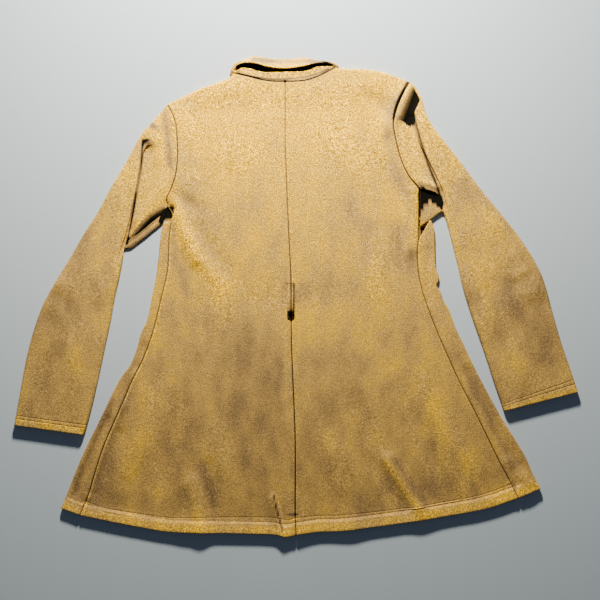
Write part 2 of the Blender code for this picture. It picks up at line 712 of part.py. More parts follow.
def overlap_height(side, x):
    """The left front lies over the edge of the right front at the middle."""
    if side.sign > 0:
        return 0.0
    return OVERLAP_LIFT * (1 - ease((-OVERLAP_FLAT / 2 - x) / OVERLAP_RAMP))


def front_panel(side, collection, finish):
    """The front lies on the surface, turns up at the side fold and meets the back on top."""
    middle_x = -side.sign * FRONT_OVERLAP
    ramp_x = side.sign * (OVERLAP_FLAT / 2 + OVERLAP_RAMP)
    overlap = (middle_x, side.sign * OVERLAP_FLAT / 2, ramp_x)
    start = FRONT_COLUMNS[0] - FRONT_COLUMN_LEAD
    fractions = [(share - start) / (1 - start) for share in FRONT_COLUMNS] + [1.0]
    weights = [0.0] * len(overlap) + fractions
    middle_hem = height_over(HEM, middle_x) + FRONT_HEM_RISE
    fold_hem = side.fold.at(0).y
    grid = []
    for seam_share in side.seam_rows():
        share = seam_share / side.strip_top
        fold = side.fold.at(share)
        seam = side.seam.at(seam_share)
        radius = coat_height(fold.x - side.sign * FOLD_INSET, fold.y) / 2
        centre = fold.x - side.sign * radius
        low_y = mix(middle_hem, side.underarm.y, share)
        line = []
        for x in [*overlap, *[mix(ramp_x, centre, fraction) for fraction in fractions]]:
            column = (x - middle_x) / (centre - middle_x)
            curve = height_over(HEM, x) + FRONT_HEM_RISE * (1 - column)
            curve -= mix(middle_hem, fold_hem, column)
            y = mix(low_y, fold.y, column) + curve * (1 - share) ** HEM_CURVE_FADE
            line.append(Vector((x, y, overlap_height(side, x))))
        for turn in FOLD_TURNS:
            angle = math.radians(turn)
            x = centre + side.sign * radius * math.sin(angle)
            line.append(Vector((x, fold.y, radius - radius * math.cos(angle))))
        seam_x = seam.x + side.sign * SEAM_GAP / 2
        seam_top = coat_height(seam_x, seam.y)
        land_x = seam_x + side.sign * LAND
        half = Vector(((centre + land_x) / 2, (fold.y + seam.y) / 2))
        line.append(Vector((centre, fold.y, 2 * radius)))
        line.append(Vector((*half, coat_height(*half))))
        line.append(Vector((land_x, seam.y, seam_top)))
        line.append(Vector((seam_x, seam.y, seam_top)))
        grid.append(line)

    bottom = [point.xy for point in grid[-1][: len(weights)]]
    bare = [None] * (len(grid[-1]) - len(weights))
    top = [Vector((x, height_over(side.front_neck.points[:: side.sign], x))) for x in overlap]
    top += [side.front_top_edge(share) for share in (*FRONT_COLUMNS, 1.0)]
    rolls = [0.0] * len(overlap)
    rolls += [side.shoulder_roll(share) for share in (*FRONT_COLUMNS, 1.0)]
    shares = lower_shares(side.low_span)
    for share, drop in reversed(list(zip(shares, roll_drops(len(shares))))[:-1]):
        neck_land = FRONT_NECK_LAND if drop == ROLL[0].drop else 0.0
        line = []
        for low, high, roll, weight in zip(bottom, top, rolls, weights):
            up = 1 - share - neck_land * (1 - roll)
            bend = side.front_armhole(1 - up) - mix(bottom[-1], top[-1], up)
            place = mix(low, high, up) + bend * weight
            z = overlap_height(side, place.x)
            z = mix(z, coat_height(place.x, place.y) / 2 - RELEASE, roll * drop)
            line.append(Vector((*place, z)))
        line[-2] = line[-1] - Vector((side.sign * SIDE_LAND, 0, 0))
        grid.append(line + bare)
    return cloth_object(f"front_{side.name}", grid, collection, finish, flip=side.sign > 0)


def fold_places(side):
    """Where the tuck's fold crosses each sleeve section."""
    places = []
    for row in side.sleeve:
        outer = Vector((row.outer_x, row.outer_y))
        inner = Vector((row.inner_x, row.inner_y))
        places.append(mix(outer, inner, row.fold) + side.armhole_bend(row.fold) * row.bulge)
    return places


def fold_stretch(side, number):
    """How much longer a distance square to the fold is along the section."""
    places = fold_places(side)
    row = side.sleeve[number]
    along = places[min(number + 1, len(places) - 1)] - places[max(number - 1, 0)]
    section = Vector((row.inner_x - row.outer_x, row.inner_y - row.outer_y))
    slant = abs(along.normalized().cross(section.normalized()))
    return 1 / max(slant, LEAST_SLANT)


def sleeve_section(side, row, match, stretch):
    """One loop of a sleeve: outer roll, upper layer, tuck, web, lip, then the lower layer back."""
    outer = Vector((row.outer_x, row.outer_y))
    inner = Vector((row.inner_x, row.inner_y))
    low = Vector((row.low_x, row.low_y))
    span = (inner - outer).length
    low_span = (low - outer).length
    rolled = ROLL[-1].distance

    def top_point(share, under=0.0, pit=False):
        place = mix(outer, inner, share) + side.armhole_bend(share) * row.bulge
        own = row.height + relief(place.x, place.y, side.sleeve_folds)
        z = mix(own, coat_height(place.x, place.y), match) - under
        if pit:
            z += (1 - match) * relief(place.x, place.y, side.sleeve_pits)
        return Vector((*place, max(z, LOWEST_TOP)))

    def low_point(share, z):
        place = mix(outer, low, share) + side.armhole_bend(share) * row.bulge
        return Vector((*place, z))

    edge_top = top_point(rolled / span).z
    points = [Vector((*outer, edge_top / 2))]
    for step in ROLL:
        place = top_point(step.distance / span)
        points.append(Vector((*place.xy, mix(edge_top, edge_top / 2, step.drop))))

    turn = SLEEVE_TURN / span
    web_limit = 1 - turn * row.plain
    across = min(stretch / span, (web_limit - row.fold) / (2 * TUCK_CLOSED[-1].past))
    top_end = row.fold - row.tuck * TUCK_ROLL * across
    for index in range(1, TOP_POINTS):
        points.append(top_point(mix(rolled / span, top_end, index / TOP_POINTS)))

    room = min(1.0, (web_limit - row.fold) * span / (TUCK_OPEN[-1].past * OPEN_ROOM))
    for number, (flat, step) in enumerate(zip(TUCK_OPEN, TUCK_CLOSED)):
        past = row.fold + mix(flat.past * room / span, step.past * across, row.tuck)
        depth = mix(flat.under, step.under, row.tuck)
        points.append(top_point(past, depth, pit=number >= FIRST_PIT_STEP))
    web_end = mix(LONG_WEB_DEPTH, WEB_END_DEPTH, ease((1 - past) * span / LONG_WEB))
    for index in range(1, WEB_POINTS + 1):
        depth = row.tuck * mix(WEB_DEPTH, web_end, index / WEB_POINTS)
        points.append(top_point(mix(past, web_limit, index / WEB_POINTS), depth, pit=True))
    drop = points[-1].z - LIP_HEIGHT
    edge = top_point(1 - turn).z / 2
    for number, step in enumerate(LIP, 1):
        share = min(step.distance / (low - inner).length, step.most)
        place = mix(inner, low, 1 - share if step.from_low else share)
        point = Vector((*place, LIP_HEIGHT * step.height + drop * step.drop))
        angle = math.pi / 2 - number * math.pi / (len(LIP) + 1)
        place = top_point(1 - turn + turn * math.cos(angle))
        round_point = Vector((*place.xy, edge * (1 + math.sin(angle))))
        points.append(mix(point, round_point, row.plain))

    for share in lower_shares(low_span)[-2 : len(ROLL) : -1]:
        points.append(low_point(share * mix(1.0, 1 - turn, row.plain), 0.0))
    for step in ROLL[::-1]:
        points.append(low_point(step.distance / low_span, edge_top / 2 * step.drop))
    return points


def sleeve(side, collection, finish):
    loops = []
    for number, row in enumerate(side.sleeve):
        match = SEAM_MATCH[number] if number < len(SEAM_MATCH) else 0.0
        loops.append(sleeve_section(side, row, match, fold_stretch(side, number)))
    first = loops.pop(0)
    for away in (SEAM_GAP + SIDE_LAND, SEAM_GAP):
        loops.insert(0, [point + Vector((side.sign * away, 0, 0)) for point in first])
    return cloth_object(
        f"sleeve_{side.name}", loops, collection, finish, ring=True, flip=side.sign < 0
    )


def near_collar_bases():
    """Where the collar is sewn to the backs, from left to right."""
    left, right = Side("left"), Side("right")
    places = [left.back_place(share, 1.0) for share in NECK_COLUMNS[::-1]]
    places.append(left.centre.at(1))
    places += [right.back_place(share, 1.0) for share in NECK_COLUMNS]
    places[-1] += Vector((0, STEEP_END_GAP))
    return [place + Vector((0, SEAM_GAP)) for place in places]


def collar(collection, finish):
    """A closed band: up from its outer edge, over the rim, and down into the neck opening."""
    rows = []
    rims = Path(NEAR_RIM)
    first, last = NEAR_RIM[0].x, NEAR_RIM[-1].x
    for base in near_collar_bases():
        rim = rims.at((base.x - first) / (last - first))
        base = Vector((*base, coat_height(*base)))
        rim = Vector((*rim, min(NEAR_RIM_HEIGHT, base.z + NEAR_SLOPE * (rim.y - base.y))))
        wall = Vector((0, NEAR_WALL, 0))
        foot = Vector((0, 0, NEAR_FOOT - NEAR_RIM_HEIGHT))
        feet = (rim + wall + foot / 2, rim + wall + foot)
        rows.append(collar_section(base, rim, Vector((0, 1)), *feet))
    for row in FAR_SIDE:
        base = Vector((row.base_x, row.base_y, row.base_z))
        rim = Vector((row.rim_x, row.rim_y, row.rim_z))
        end = Vector((row.end_x, row.end_y, row.end_z))
        inward = (rim.xy - base.xy).normalized()
        foot = Vector((*(rim.xy + inward * FAR_WALL), end.z + FAR_FOOT_RISE))
        rows.append(collar_section(base, rim, inward, foot, end))
    return cloth_object(
        "collar", rows, collection, finish, around=True, flip=True, wall=COLLAR_CLOTH
    )


def collar_section(base, rim, inward, foot, end):
    """One row of the collar, from its outer edge over the rim to the end of its inner wall."""
    back = min(RIM_ROUND, (rim.xy - base.xy).length / 2)
    outside = Vector((*(rim.xy - inward * back), rim.z - RIM_OUTSIDE_DROP))
    inside = Vector((*(rim.xy + inward * RIM_INSIDE), rim.z - RIM_INSIDE_DROP))
    return [base, mix(base, outside, 0.5), outside, rim, inside, foot, end]


def belt_loop(collection, finish):
    """A strip over the centre seam, close to the back at its ends and clear of it between."""
    half = LOOP_WIDTH / 2
    rows = []
    for step in LOOP_PROFILE:
        z = BACK_HEIGHT + LOOP_CLEARANCE + LOOP_WALL + step.rise
        rows.append([Vector((LOOP_X + x, step.y, z)) for x in (-half, half)])
    return cloth_object("belt_loop", rows, collection, finish, wall=LOOP_WALL, flip=True)


def main():
    for old in list(bpy.data.objects):
        bpy.data.objects.remove(old, do_unlink=True)
    collection = bpy.data.collections.new("suede_coat")
    bpy.context.scene.collection.children.link(collection)
    for name in ("left", "right"):
        side = Side(name)
        back_panel(side, collection, material(f"suede_back_{name}", TAN, ROUGHNESS))
        front_panel(side, collection, material(f"suede_front_{name}", TAN, ROUGHNESS))
        sleeve(side, collection, material(f"suede_sleeve_{name}", TAN, ROUGHNESS))
    collar(collection, material("suede_collar", LIGHT_TAN, ROUGHNESS))
    belt_loop(collection, material("suede_belt_loop", LIGHT_TAN, ROUGHNESS))


main()
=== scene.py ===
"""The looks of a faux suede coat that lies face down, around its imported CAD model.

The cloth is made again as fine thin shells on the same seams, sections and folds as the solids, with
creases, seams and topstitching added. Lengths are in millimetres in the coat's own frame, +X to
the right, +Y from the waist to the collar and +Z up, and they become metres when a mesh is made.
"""

import math
from collections import namedtuple

import bpy
import numpy as np
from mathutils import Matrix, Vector


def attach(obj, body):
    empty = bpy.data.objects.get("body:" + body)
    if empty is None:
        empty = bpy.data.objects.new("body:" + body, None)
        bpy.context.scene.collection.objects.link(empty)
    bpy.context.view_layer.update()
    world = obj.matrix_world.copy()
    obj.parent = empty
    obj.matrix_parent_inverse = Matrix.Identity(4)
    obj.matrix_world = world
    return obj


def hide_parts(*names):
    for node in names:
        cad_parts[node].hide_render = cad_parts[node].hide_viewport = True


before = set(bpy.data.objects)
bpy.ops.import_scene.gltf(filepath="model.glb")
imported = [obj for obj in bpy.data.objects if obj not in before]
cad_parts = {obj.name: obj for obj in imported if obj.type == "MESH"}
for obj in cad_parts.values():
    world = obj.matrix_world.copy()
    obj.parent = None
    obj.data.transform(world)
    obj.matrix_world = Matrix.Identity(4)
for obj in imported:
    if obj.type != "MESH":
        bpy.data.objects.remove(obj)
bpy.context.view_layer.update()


def table(kind, *rows):
    """Rows of one kind, from plain rows of its named columns."""
    return tuple(kind(*row) for row in rows)


def shifted(points, right=0.0, up=0.0):
    """The same line a little further on."""
    return [Point(point.x + right, point.y + up) for point in points]


MILLIMETRE = 0.001
TINY = 1e-9
WALL = 1.3  # bonded suede cloth
SEAM_GAP = 0.1  # a sewn seam is closed, so no light gets through
RELEASE = 0.2  # half the gap between the edges that meet at the shoulder fold

# Heights of the outer face of the back over the surface
BACK_HEIGHT = 5.8
HEM_LIFT = 3.2  # the turned-up hem holds the back off the fronts
HEM_DEPTH = 32.0
NECK_LIFT = 3.6
NECK_DEPTH = 55.0
LOWEST_TOP = 3.4  # no fold presses the upper layer lower than this

# The fronts overlap at the middle, the right front nearest the surface
FRONT_OVERLAP = 20.0
OVERLAP_FLAT = 44.0  # the left front is level this far across the middle, then it slopes down
OVERLAP_RAMP = 16.0
OVERLAP_LIFT = WALL + 0.4
FRONT_HEM_RISE = 3.0  # the fronts end just above the hem of the back

# Seams and edges of the body, seen from above
Point = namedtuple("Point", "x y")
CENTRE_SEAM = table(
    Point,
    (9, -420.3), (7.7, -381.6), (7.7, -252), (1.3, -90), (0.5, -34), (0, 41.4), (-3.6, 113.4),
    (-7.9, 216), (-10.1, 286), (-10.1, 391.3),
)
HEM = table(
    Point,
    (-412.6, -374.4), (-378, -385.2), (-319.3, -397.8), (-271.8, -406.8), (-223.2, -414.9),
    (-145.8, -417.6), (-34.2, -420.1), (-5.4, -423.7), (10.8, -420.1), (48.6, -415.8), (90, -414),
    (153.9, -406.3), (217.8, -397.1), (295.2, -384.5), (354.6, -372.6), (406.8, -354.6), (448.5, -339),
)
NECK_LEFT = table(
    Point,
    (-10.1, 391.3), (-32.4, 391.5), (-53.1, 394.2), (-75.6, 400), (-97.2, 405.6), (-108, 399.6),
)
NECK_RIGHT = table(
    Point,
    (-10.1, 391.3), (7.2, 391.5), (27.9, 393.7), (47.7, 400.3), (62.1, 407.3), (76.9, 415), (86.4, 414.9),
)
SHOULDER_LEFT = table(Point, (-108, 399.6), (-114.3, 396), (-171.7, 375.3), (-222.1, 351))
SHOULDER_RIGHT = table(Point, (86.4, 414.9), (134.1, 413.3), (168.5, 407.5), (191.5, 399.6), (213.3, 391))
ARMHOLE_LEFT = table(
    Point,
    (-222.1, 351), (-211.9, 331.7), (-206.1, 311.4), (-203.8, 280.8), (-203.4, 253.8), (-207, 223.9),
    (-215.3, 198.5), (-223, 182), (-222, 166),
)
ARMHOLE_RIGHT = table(
    Point,
    (213.3, 391), (200.7, 369.7), (189, 342), (183.6, 321.5), (184.7, 303.1), (191.5, 270.9),
    (200.7, 243.4), (212.2, 220.5), (229.4, 200),
)
SIDE_SEAM_LEFT = table(
    Point,
    (-378, -385.2), (-364.3, -352.8), (-348.3, -298.8), (-335.5, -261), (-304.2, -189.9),
    (-286.2, -147.6), (-265.5, -105.5), (-248.9, -61.2), (-230.4, 12.6), (-221.4, 54), (-218.7, 109.8),
    (-215.1, 143), (-215.5, 156), (-222, 166),
)
SIDE_SEAM_RIGHT = table(
    Point,
    (406.8, -354.6), (399.6, -338.4), (369.5, -280.8), (333.7, -207), (301.3, -144), (267.5, -68.4),
    (251.5, -28.8), (237.6, 10.8), (230, 43.2), (226.8, 84.6), (229.1, 112), (230.4, 156.6), (229.4, 200),
)
SIDE_FOLD_LEFT = table(
    Point,
    (-412.6, -374.4), (-398.2, -338.4), (-385.2, -304.2), (-362.7, -253.8), (-344.7, -217.8),
    (-307.8, -143), (-288, -115.2), (-277.2, -88.2), (-269.3, -59.4), (-258, -34.2), (-248.9, 9),
    (-243, 37.8), (-238.1, 74.7), (-234.7, 109.8), (-229.5, 139.5),
)
SIDE_FOLD_RIGHT = table(
    Point,
    (448.5, -339), (433.8, -311.4), (418.9, -277.2), (379.8, -214.2), (341.5, -144), (322.2, -106.2),
    (309.6, -78.5), (295.2, -48.6), (283.7, -17.3), (273.6, 0), (268.4, 16), (262, 25), (266.2, 38),
    (260.5, 59.4), (258.8, 91.8), (257.4, 128), (251.5, 142.7),
)
FRONT_NECK_LEFT = table(Point, (20, 379), (-9, 379), (-42, 383), (-62, 389), (-86, 396), (-106, 399.2))
FRONT_NECK_RIGHT = table(Point, (-20, 379.3), (-9, 379), (20, 381), (42, 390), (62, 401), (84, 414.2))
UNDERARM_LEFT = Point(-229.5, 139.5)
UNDERARM_RIGHT = Point(251.5, 142.7)
STRIP_TOP_LEFT = 0.952  # how far up the side seam the fronts reach, the rest is the back's free edge
STRIP_TOP_RIGHT = 0.842

# Ridges (height over 0) and troughs (under 0) of the upper layer, from end to end
Fold = namedtuple("Fold", "x0 y0 x1 y1 width height")
BODY_FOLDS = table(
    Fold,
    (-212, 173, -173, 72, 13, 2.6), (-300, -189, -362, -351, 9, 2.2), (-310, -240, -352, -345, 12, -2),
    (-176, -330, -160, -420, 15, 3.2), (-150, -300, -135, -370, 14, -1.6),
    (-30.6, -356, -14, -424, 8, 2.6), (172, -285, 228, -372, 12, 3.4), (150, -290, 205, -380, 14, -1.6),
    (218, 195, 214, 95, 14, 3.2), (-190, -405, -185, -425, 24, 1.6), (8, -395, 8, -425, 26, 1.8),
    (108, -395, 108, -425, 24, 1.4), (232, -380, 234, -405, 24, 1.8), (421, -320, 425, -355, 18, 1.4),
    (-205, 320, -198, 215, 26, 2.4), (196, 372, 176, 316, 16, 3), (188, 300, 210, 225, 24, 2.4),
    (-263, -83, -276, -120, 8, -1.6), (-330, -215, -385, -345, 9, -1.8), (245, 90, 246, 0, 8, -1.4),
    (320, -130, 405, -300, 12, -2.2), (390, -290, 425, -325, 10, 2.2), (-222, 170, -219, 164, 9, -4.6),
)

# Sleeve sections, from the armhole to the cuff: outer edge, inner edge of the upper layer, edge of the
# lower layer, the height of the upper layer, how far the armhole's curve still shows, where the tuck's
# step lies across, how much of the step there is, and how far the section is a plain tube. A row without
# the last four is a plain tube. Between rows a column more says how far the back's height is kept.
SleeveRow = namedtuple(
    "SleeveRow",
    "outer_x outer_y inner_x inner_y low_x low_y height bulge fold tuck plain",
    defaults=(0.0, 0.84, 0.0, 1.0),
)
COLUMN = {name: number for number, name in enumerate((*SleeveRow._fields, "match"))}
SLEEVE_LEFT = table(
    SleeveRow,
    (-222.1, 351, -222, 166, -229.5, 139.5, 9, 1, 0.22, 0, 0),
    (-236, 334, -235, 155, -238, 131.5, 8.6, 0.75, 0.2, 0, 0),
    (-252, 314.5, -245, 147, -248, 123.5, 10.2, 0.45, 0.16, 0.5, 0),
    (-266.5, 299.5, -254, 139, -257.5, 115.5, 10.4, 0.12, 0.19, 1, 0),
    (-281, 274, -263, 131, -267, 108, 10.4, 0, 0.4, 1, 0),
    (-300, 239, -273, 123, -277, 100.5, 10.4, 0, 0.61, 1, 0),
    (-322, 203, -284, 115, -287.5, 93, 10.4, 0, 0.8, 1, 0),
    (-344, 162, -296, 101, -299.5, 90, 10.2, 0, 0.92, 1, 0),
    (-370, 121, -300, 79, -303, 75.5, 9.8, 0, 0.88, 0.4, 0.7),
    (-396, 76, -306.5, 48, -309, 46, 10),
    (-420, 36, -315, 10, -317, 9, 10.4),
    (-443.7, -6.3, -323, -34, -325, -35, 9.6),
    (-459, -47, -332, -76, -334, -77, 10.2),
    (-473, -98, -342.5, -126, -344.5, -126.5, 9.4),
    (-483.5, -155, -354, -177, -356, -177.5, 9.8),
    (-492.5, -206, -366, -223.5, -368, -224, 10.4),
    (-496.4, -223.9, -371.9, -241.6, -374, -241.6, 10.8),
)
SLEEVE_RIGHT = table(
    SleeveRow,
    (213.3, 391, 229.4, 200, 231.8, 131.2, 9, 1, 0.22, 0, 0),
    (217.5, 388, 233, 199, 236, 134.2, 9.4, 1, 0.22, 0, 0),
    (226, 379, 239, 197.5, 241, 137.8, 9, 0.85, 0.2, 0, 0),
    (235, 360, 245, 196, 246, 141.4, 10.4, 0.7, 0.2, 1, 0),
    (241, 337, 250.5, 195, 251, 145, 10.6, 0.5, 0.34, 1, 0),
    (254, 311.5, 256, 193, 256, 148.6, 10.6, 0.25, 0.52, 1, 0),
    (275, 284.5, 261, 190.5, 261, 152.2, 10.6, 0.1, 0.72, 1, 0),
    (303, 249, 266.5, 183, 266, 155.6, 10.4, 0, 0.84, 1, 0),
    (334, 207, 271.5, 169, 271.2, 157.4, 10.2, 0, 0.9, 1, 0),
    (362, 172.5, 277.5, 147, 276.3, 146, 9.8, 0, 0.9, 0.4, 0.7),
    (386, 143, 288.5, 104, 290, 102.5, 10.2),
    (408, 114.5, 297.5, 69, 299.5, 67.5, 9.8),
    (424, 91, 307, 27, 309, 26, 10.4),
    (437, 70, 320, -15, 322, -16, 9.4),
    (452, 38, 333, -53, 335, -54, 10.6),
    (466, -12, 347, -93, 349, -94, 9.6),
    (484.2, -75, 362, -140, 364, -140, 10),
    (504, -133, 376, -181, 378, -181, 10.4),
    (514.4, -164.7, 381.6, -198.9, 383.6, -198.9, 10.8),
)
TUCK_ROLL = 1.9  # radius of the cloth's outer face round the tuck's edge
WEB_DEPTH = 4.5  # how far the cloth beyond the tuck lies under the top
WEB_END_DEPTH = 1.6
LONG_WEB = 40.0
LEAST_SLANT = 0.3
LIP_HEIGHT = 3.6  # the lower layer's edge is cloth folded on itself
LIP_HEIGHT_RIGHT = 5.6
LOW_LIFT_RIGHT = 1.7  # the right sleeve's lower layer lies on the front's corner
LOW_LIFT_FADE = 90.0
SEAM_MATCH = (1.0, 0.55, 0.2)  # how much the first sections keep the back's height
SLEEVE_TURN = 5.0  # width of the roll along the sleeve's inner edge

# The sleeve's inner edge, from the upper layer's edge to the lower layer's: how far from one of them
# in millimetres, at most what share of the way, and the height, as a share of the drop to the lip and
# then as a share of the lip's height
LipStep = namedtuple("LipStep", "distance most drop height from_low")
LIP = (
    LipStep(1.6, 0.2, 0.62, 1.0, False),
    LipStep(5.0, 0.4, 0.12, 1.0, False),
    LipStep(1.7, 0.3, 0.0, 1.0, True),
    LipStep(0.0, 0.0, 0.0, 0.5, True),
    LipStep(1.7, 0.3, 0.0, 0.0, True),
)
SLEEVE_FOLDS_LEFT = table(
    Fold,
    (-219, 315, -219, 232, 9, -2.2), (-248, 308, -240, 250, 9, 1.6), (-230, 200, -280, 140, 9, 1.6),
    (-425, 10, -395, -15, 9, -0.6),
)
SLEEVE_FOLDS_RIGHT = table(
    Fold,
    (215, 385, 190, 322, 7, 3.4), (222, 214, 262, 203, 8, 2.4), (432, 45, 405, 30, 9, -0.6),
)
SLEEVE_PITS_LEFT = table(Fold, (-217, 335, -217, 330, 7, -1))
SLEEVE_PITS_RIGHT = table(Fold, (217, 354, 212, 336, 13, -8))

# The collar stands round the neck opening. Its near side is sewn to the back's neck edge, and its
# inner wall ends NEAR_FOOT over the surface. Its far side slopes from the rim to the surface.
NEAR_FOOT = 3.3
NEAR_RIM_HEIGHT = 10.8
NEAR_WALL = 1.6  # how far the inner wall stands past the rim
NEAR_RIM = table(
    Point,
    (-94, 411), (-84.6, 415.4), (-73.8, 414.6), (-63, 408.8), (-50, 406.6), (-9, 407), (29.5, 409.2),
    (40, 415.6), (56, 416.4), (72, 417.2),
)
CollarRow = namedtuple("CollarRow", "base_x base_y base_z rim_x rim_y rim_z end_x end_y end_z")
FAR_SIDE = table(
    CollarRow,
    (87, 418, 4, 77, 419, 10.8, 73, 419.3, 3),
    (81, 426, 1.4, 72, 421.6, 11.4, 68, 419.6, 2.2),
    (71, 428.6, 1.4, 66, 423.4, 11.8, 61, 404.6, WALL),
    (60.3, 430, 1.4, 57.5, 424, 12.2, 53, 399, WALL),
    (48.2, 430.6, 1.4, 44.5, 423.4, 12.6, 42, 391.6, WALL),
    (27.4, 435.8, 1.4, 22, 418.2, 13.2, 20, 382.4, WALL),
    (-9, 433.2, 1.4, -9, 414, 13.6, -9, 380.4, WALL),
    (-38.2, 434.8, 1.4, -40, 416.8, 13.6, -42, 384.6, WALL),
    (-65.2, 439, 1.4, -65.2, 423.4, 13.2, -62, 391, WALL),
    (-86, 431.4, 1.4, -85, 424, 12.6, -80, 399, WALL),
    (-101.5, 425.5, 1.4, -96.4, 419.4, 12, -91, 411, WALL),
    (-107.6, 414.6, 1.4, -101.6, 414.2, 11.6, -97.5, 413.4, 1.6),
    (-109.4, 404.6, 4, -102.8, 410.2, 11.2, -100, 412.4, 2.4),
    (-104, 402.9, 8, -99.8, 408.8, 10.8, -98, 411.4, NEAR_FOOT),
)
RIM_ROUND = 1.3
FAR_WALL = 0.9
COLLAR_CLOTH = 1.05
NEAR_SLOPE = 0.35
STEEP_END_GAP = 0.8  # more room where the collar leans over the seam
FAR_FOOT_RISE = 1.2
RIM_EASE = 5.0  # the rim's outer side drops by a fifth of its round
RIM_INSIDE = 0.6

# The belt loop, sewn down at both ends over the centre back seam
LOOP_X = -0.5
LOOP_WIDTH = 12.6
LOOP_WALL = 2.2
LOOP_CLEARANCE = 0.3
LoopStep = namedtuple("LoopStep", "y rise")
LOOP_PROFILE = table(
    LoopStep,
    (32.4, 0), (27.5, 0), (18, 1.2), (4, 4.4), (-8, 5.2), (-17, 5.2), (-21.5, 4), (-25.5, 1.4), (-28, 0),
    (-31.8, 0),
)

# Creases that only the render shows: they bow to one side and die out at both ends
Crease = namedtuple("Crease", "x0 y0 x1 y1 width height bow")
BODY_CREASES = table(
    Crease,
    (-168, 348, -60, 392, 16, 0.9, 6), (120, 372, 182, 322, 15, -1.6, 8),
    (150, 330, 176, 240, 18, 1.2, -8), (-196, 300, -186, 220, 14, -0.9, 4),
    (-206, 190, -150, 160, 12, -1.3, -4), (-205, 168, -112, 20, 13, 1.6, -14),
    (-178, 168, -96, 40, 15, -1.3, -12), (-150, 60, -120, -60, 20, 0.8, 8),
    (206, 150, 190, 40, 14, -1.4, -5), (170, 110, 150, -10, 20, 0.8, -6),
    (-240, -150, -300, -330, 20, 1.4, 8), (-210, -160, -246, -350, 22, -1.4, 8),
    (-128, -210, -120, -330, 22, 0.9, -6), (60, -230, 92, -360, 24, 0.8, 6),
    (116, -180, 160, -300, 20, -1.1, 8), (230, -130, 330, -320, 18, 1.5, -10),
    (205, -150, 292, -350, 18, -1.4, -8), (262, -250, 322, -370, 12, 1.2, -5),
    (-28, -340, -10, -418, 3.4, -1.3, 2), (-120, 20, 110, 6, 26, -0.6, -6),
    (60, 300, 140, 220, 30, 0.9, 8), (-130, 290, -60, 240, 30, 0.8, -8),
)
SLEEVE_CREASES_LEFT = table(
    Crease,
    (-262, 290, -252, 232, 10, -1, 4), (-330, 170, -392, 60, 16, -1.3, -6),
    (-302, 90, -340, 0, 12, 1.1, 4), (-452, 0, -404, -34, 12, 0.5, 5),
    (-460, -26, -412, -52, 12, -0.5, 4), (-440, 40, -392, 26, 12, 1, -4),
    (-372, -40, -392, -160, 16, 1, -5), (-440, -90, -452, -190, 16, -0.9, 4),
)
SLEEVE_CREASES_RIGHT = table(
    Crease,
    (300, 210, 350, 120, 14, -1.2, 6), (320, 190, 372, 96, 14, 1, 6), (458, 20, 410, 2, 11, 0.5, -4),
    (462, -4, 412, -24, 11, -0.5, -4), (430, 60, 380, 40, 12, 1, 4), (392, -60, 412, -160, 16, 1, 5),
    (452, -60, 480, -150, 16, -0.9, -4), (330, 60, 352, -40, 14, 1, 5),
)

# Where the nap lies another way, lighter over 0 and darker under it; the patches marked below are painted
# light and painted shade instead
Nap = namedtuple("Nap", "x y across along shade")
NAP_PATCHES = table(
    Nap,
    (79, 328, 34, 38, 1.1), (-68, 319, 45, 35, 0.5), (-166, 302, 28, 30, 0.5), (126, 308, 13, 30, -0.9),
    (99, 225, 16, 60, -0.7), (169, 295, 14, 16, -0.9), (-180, 248, 22, 12, -0.8),
    (-191, 175, 24, 26, -0.8), (-178, 351, 14, 8, -0.7), (-81, 175, 50, 20, -0.4),
    (164, 135, 50, 16, -0.5), (-90, -81, 44, 44, -0.8), (-106, -190, 30, 46, -0.5),
    (70, -110, 46, 24, -0.8), (124, -112, 28, 20, -0.7), (-74, -160, 66, 70, -0.5),
    (52, -198, 50, 50, -0.5), (-182, -90, 12, 60, -0.5), (-34, -9, 30, 28, 0.5),
    # painted light on the next row: its first two patches darken the lower coat with painted shade and
    # lighten the upper coat with a painted highlight, as the key light's falloff does
    (0, -400, 460, 170, -0.6), (0, 420, 480, 330, 1.9), (-400, 0, 90, 240, -0.5), (440, 0, 90, 240, -0.5),
    # painted shade on the next row: its first patch darkens the back beside the right side seam, below
    # the underarm
    (217, 80, 9, 18, -1.4), (212, 170, 8, 30, -0.7), (-128, 20, 30, 26, 0.5), (-190, 60, 12, 40, -0.6),
    (180, -119, 28, 20, 0.5), (-162, -4, 20, 14, 0.6), (187, 9, 40, 30, 0.3), (-150, -120, 12, 50, 0.4),
    (-390, 0, 30, 50, -0.4), (400, 50, 30, 40, -0.4), (-38, 430, 14, 6, -1), (50, 428, 24, 5, -0.6),
    (-14, 422, 16, 6, 0.7),
)
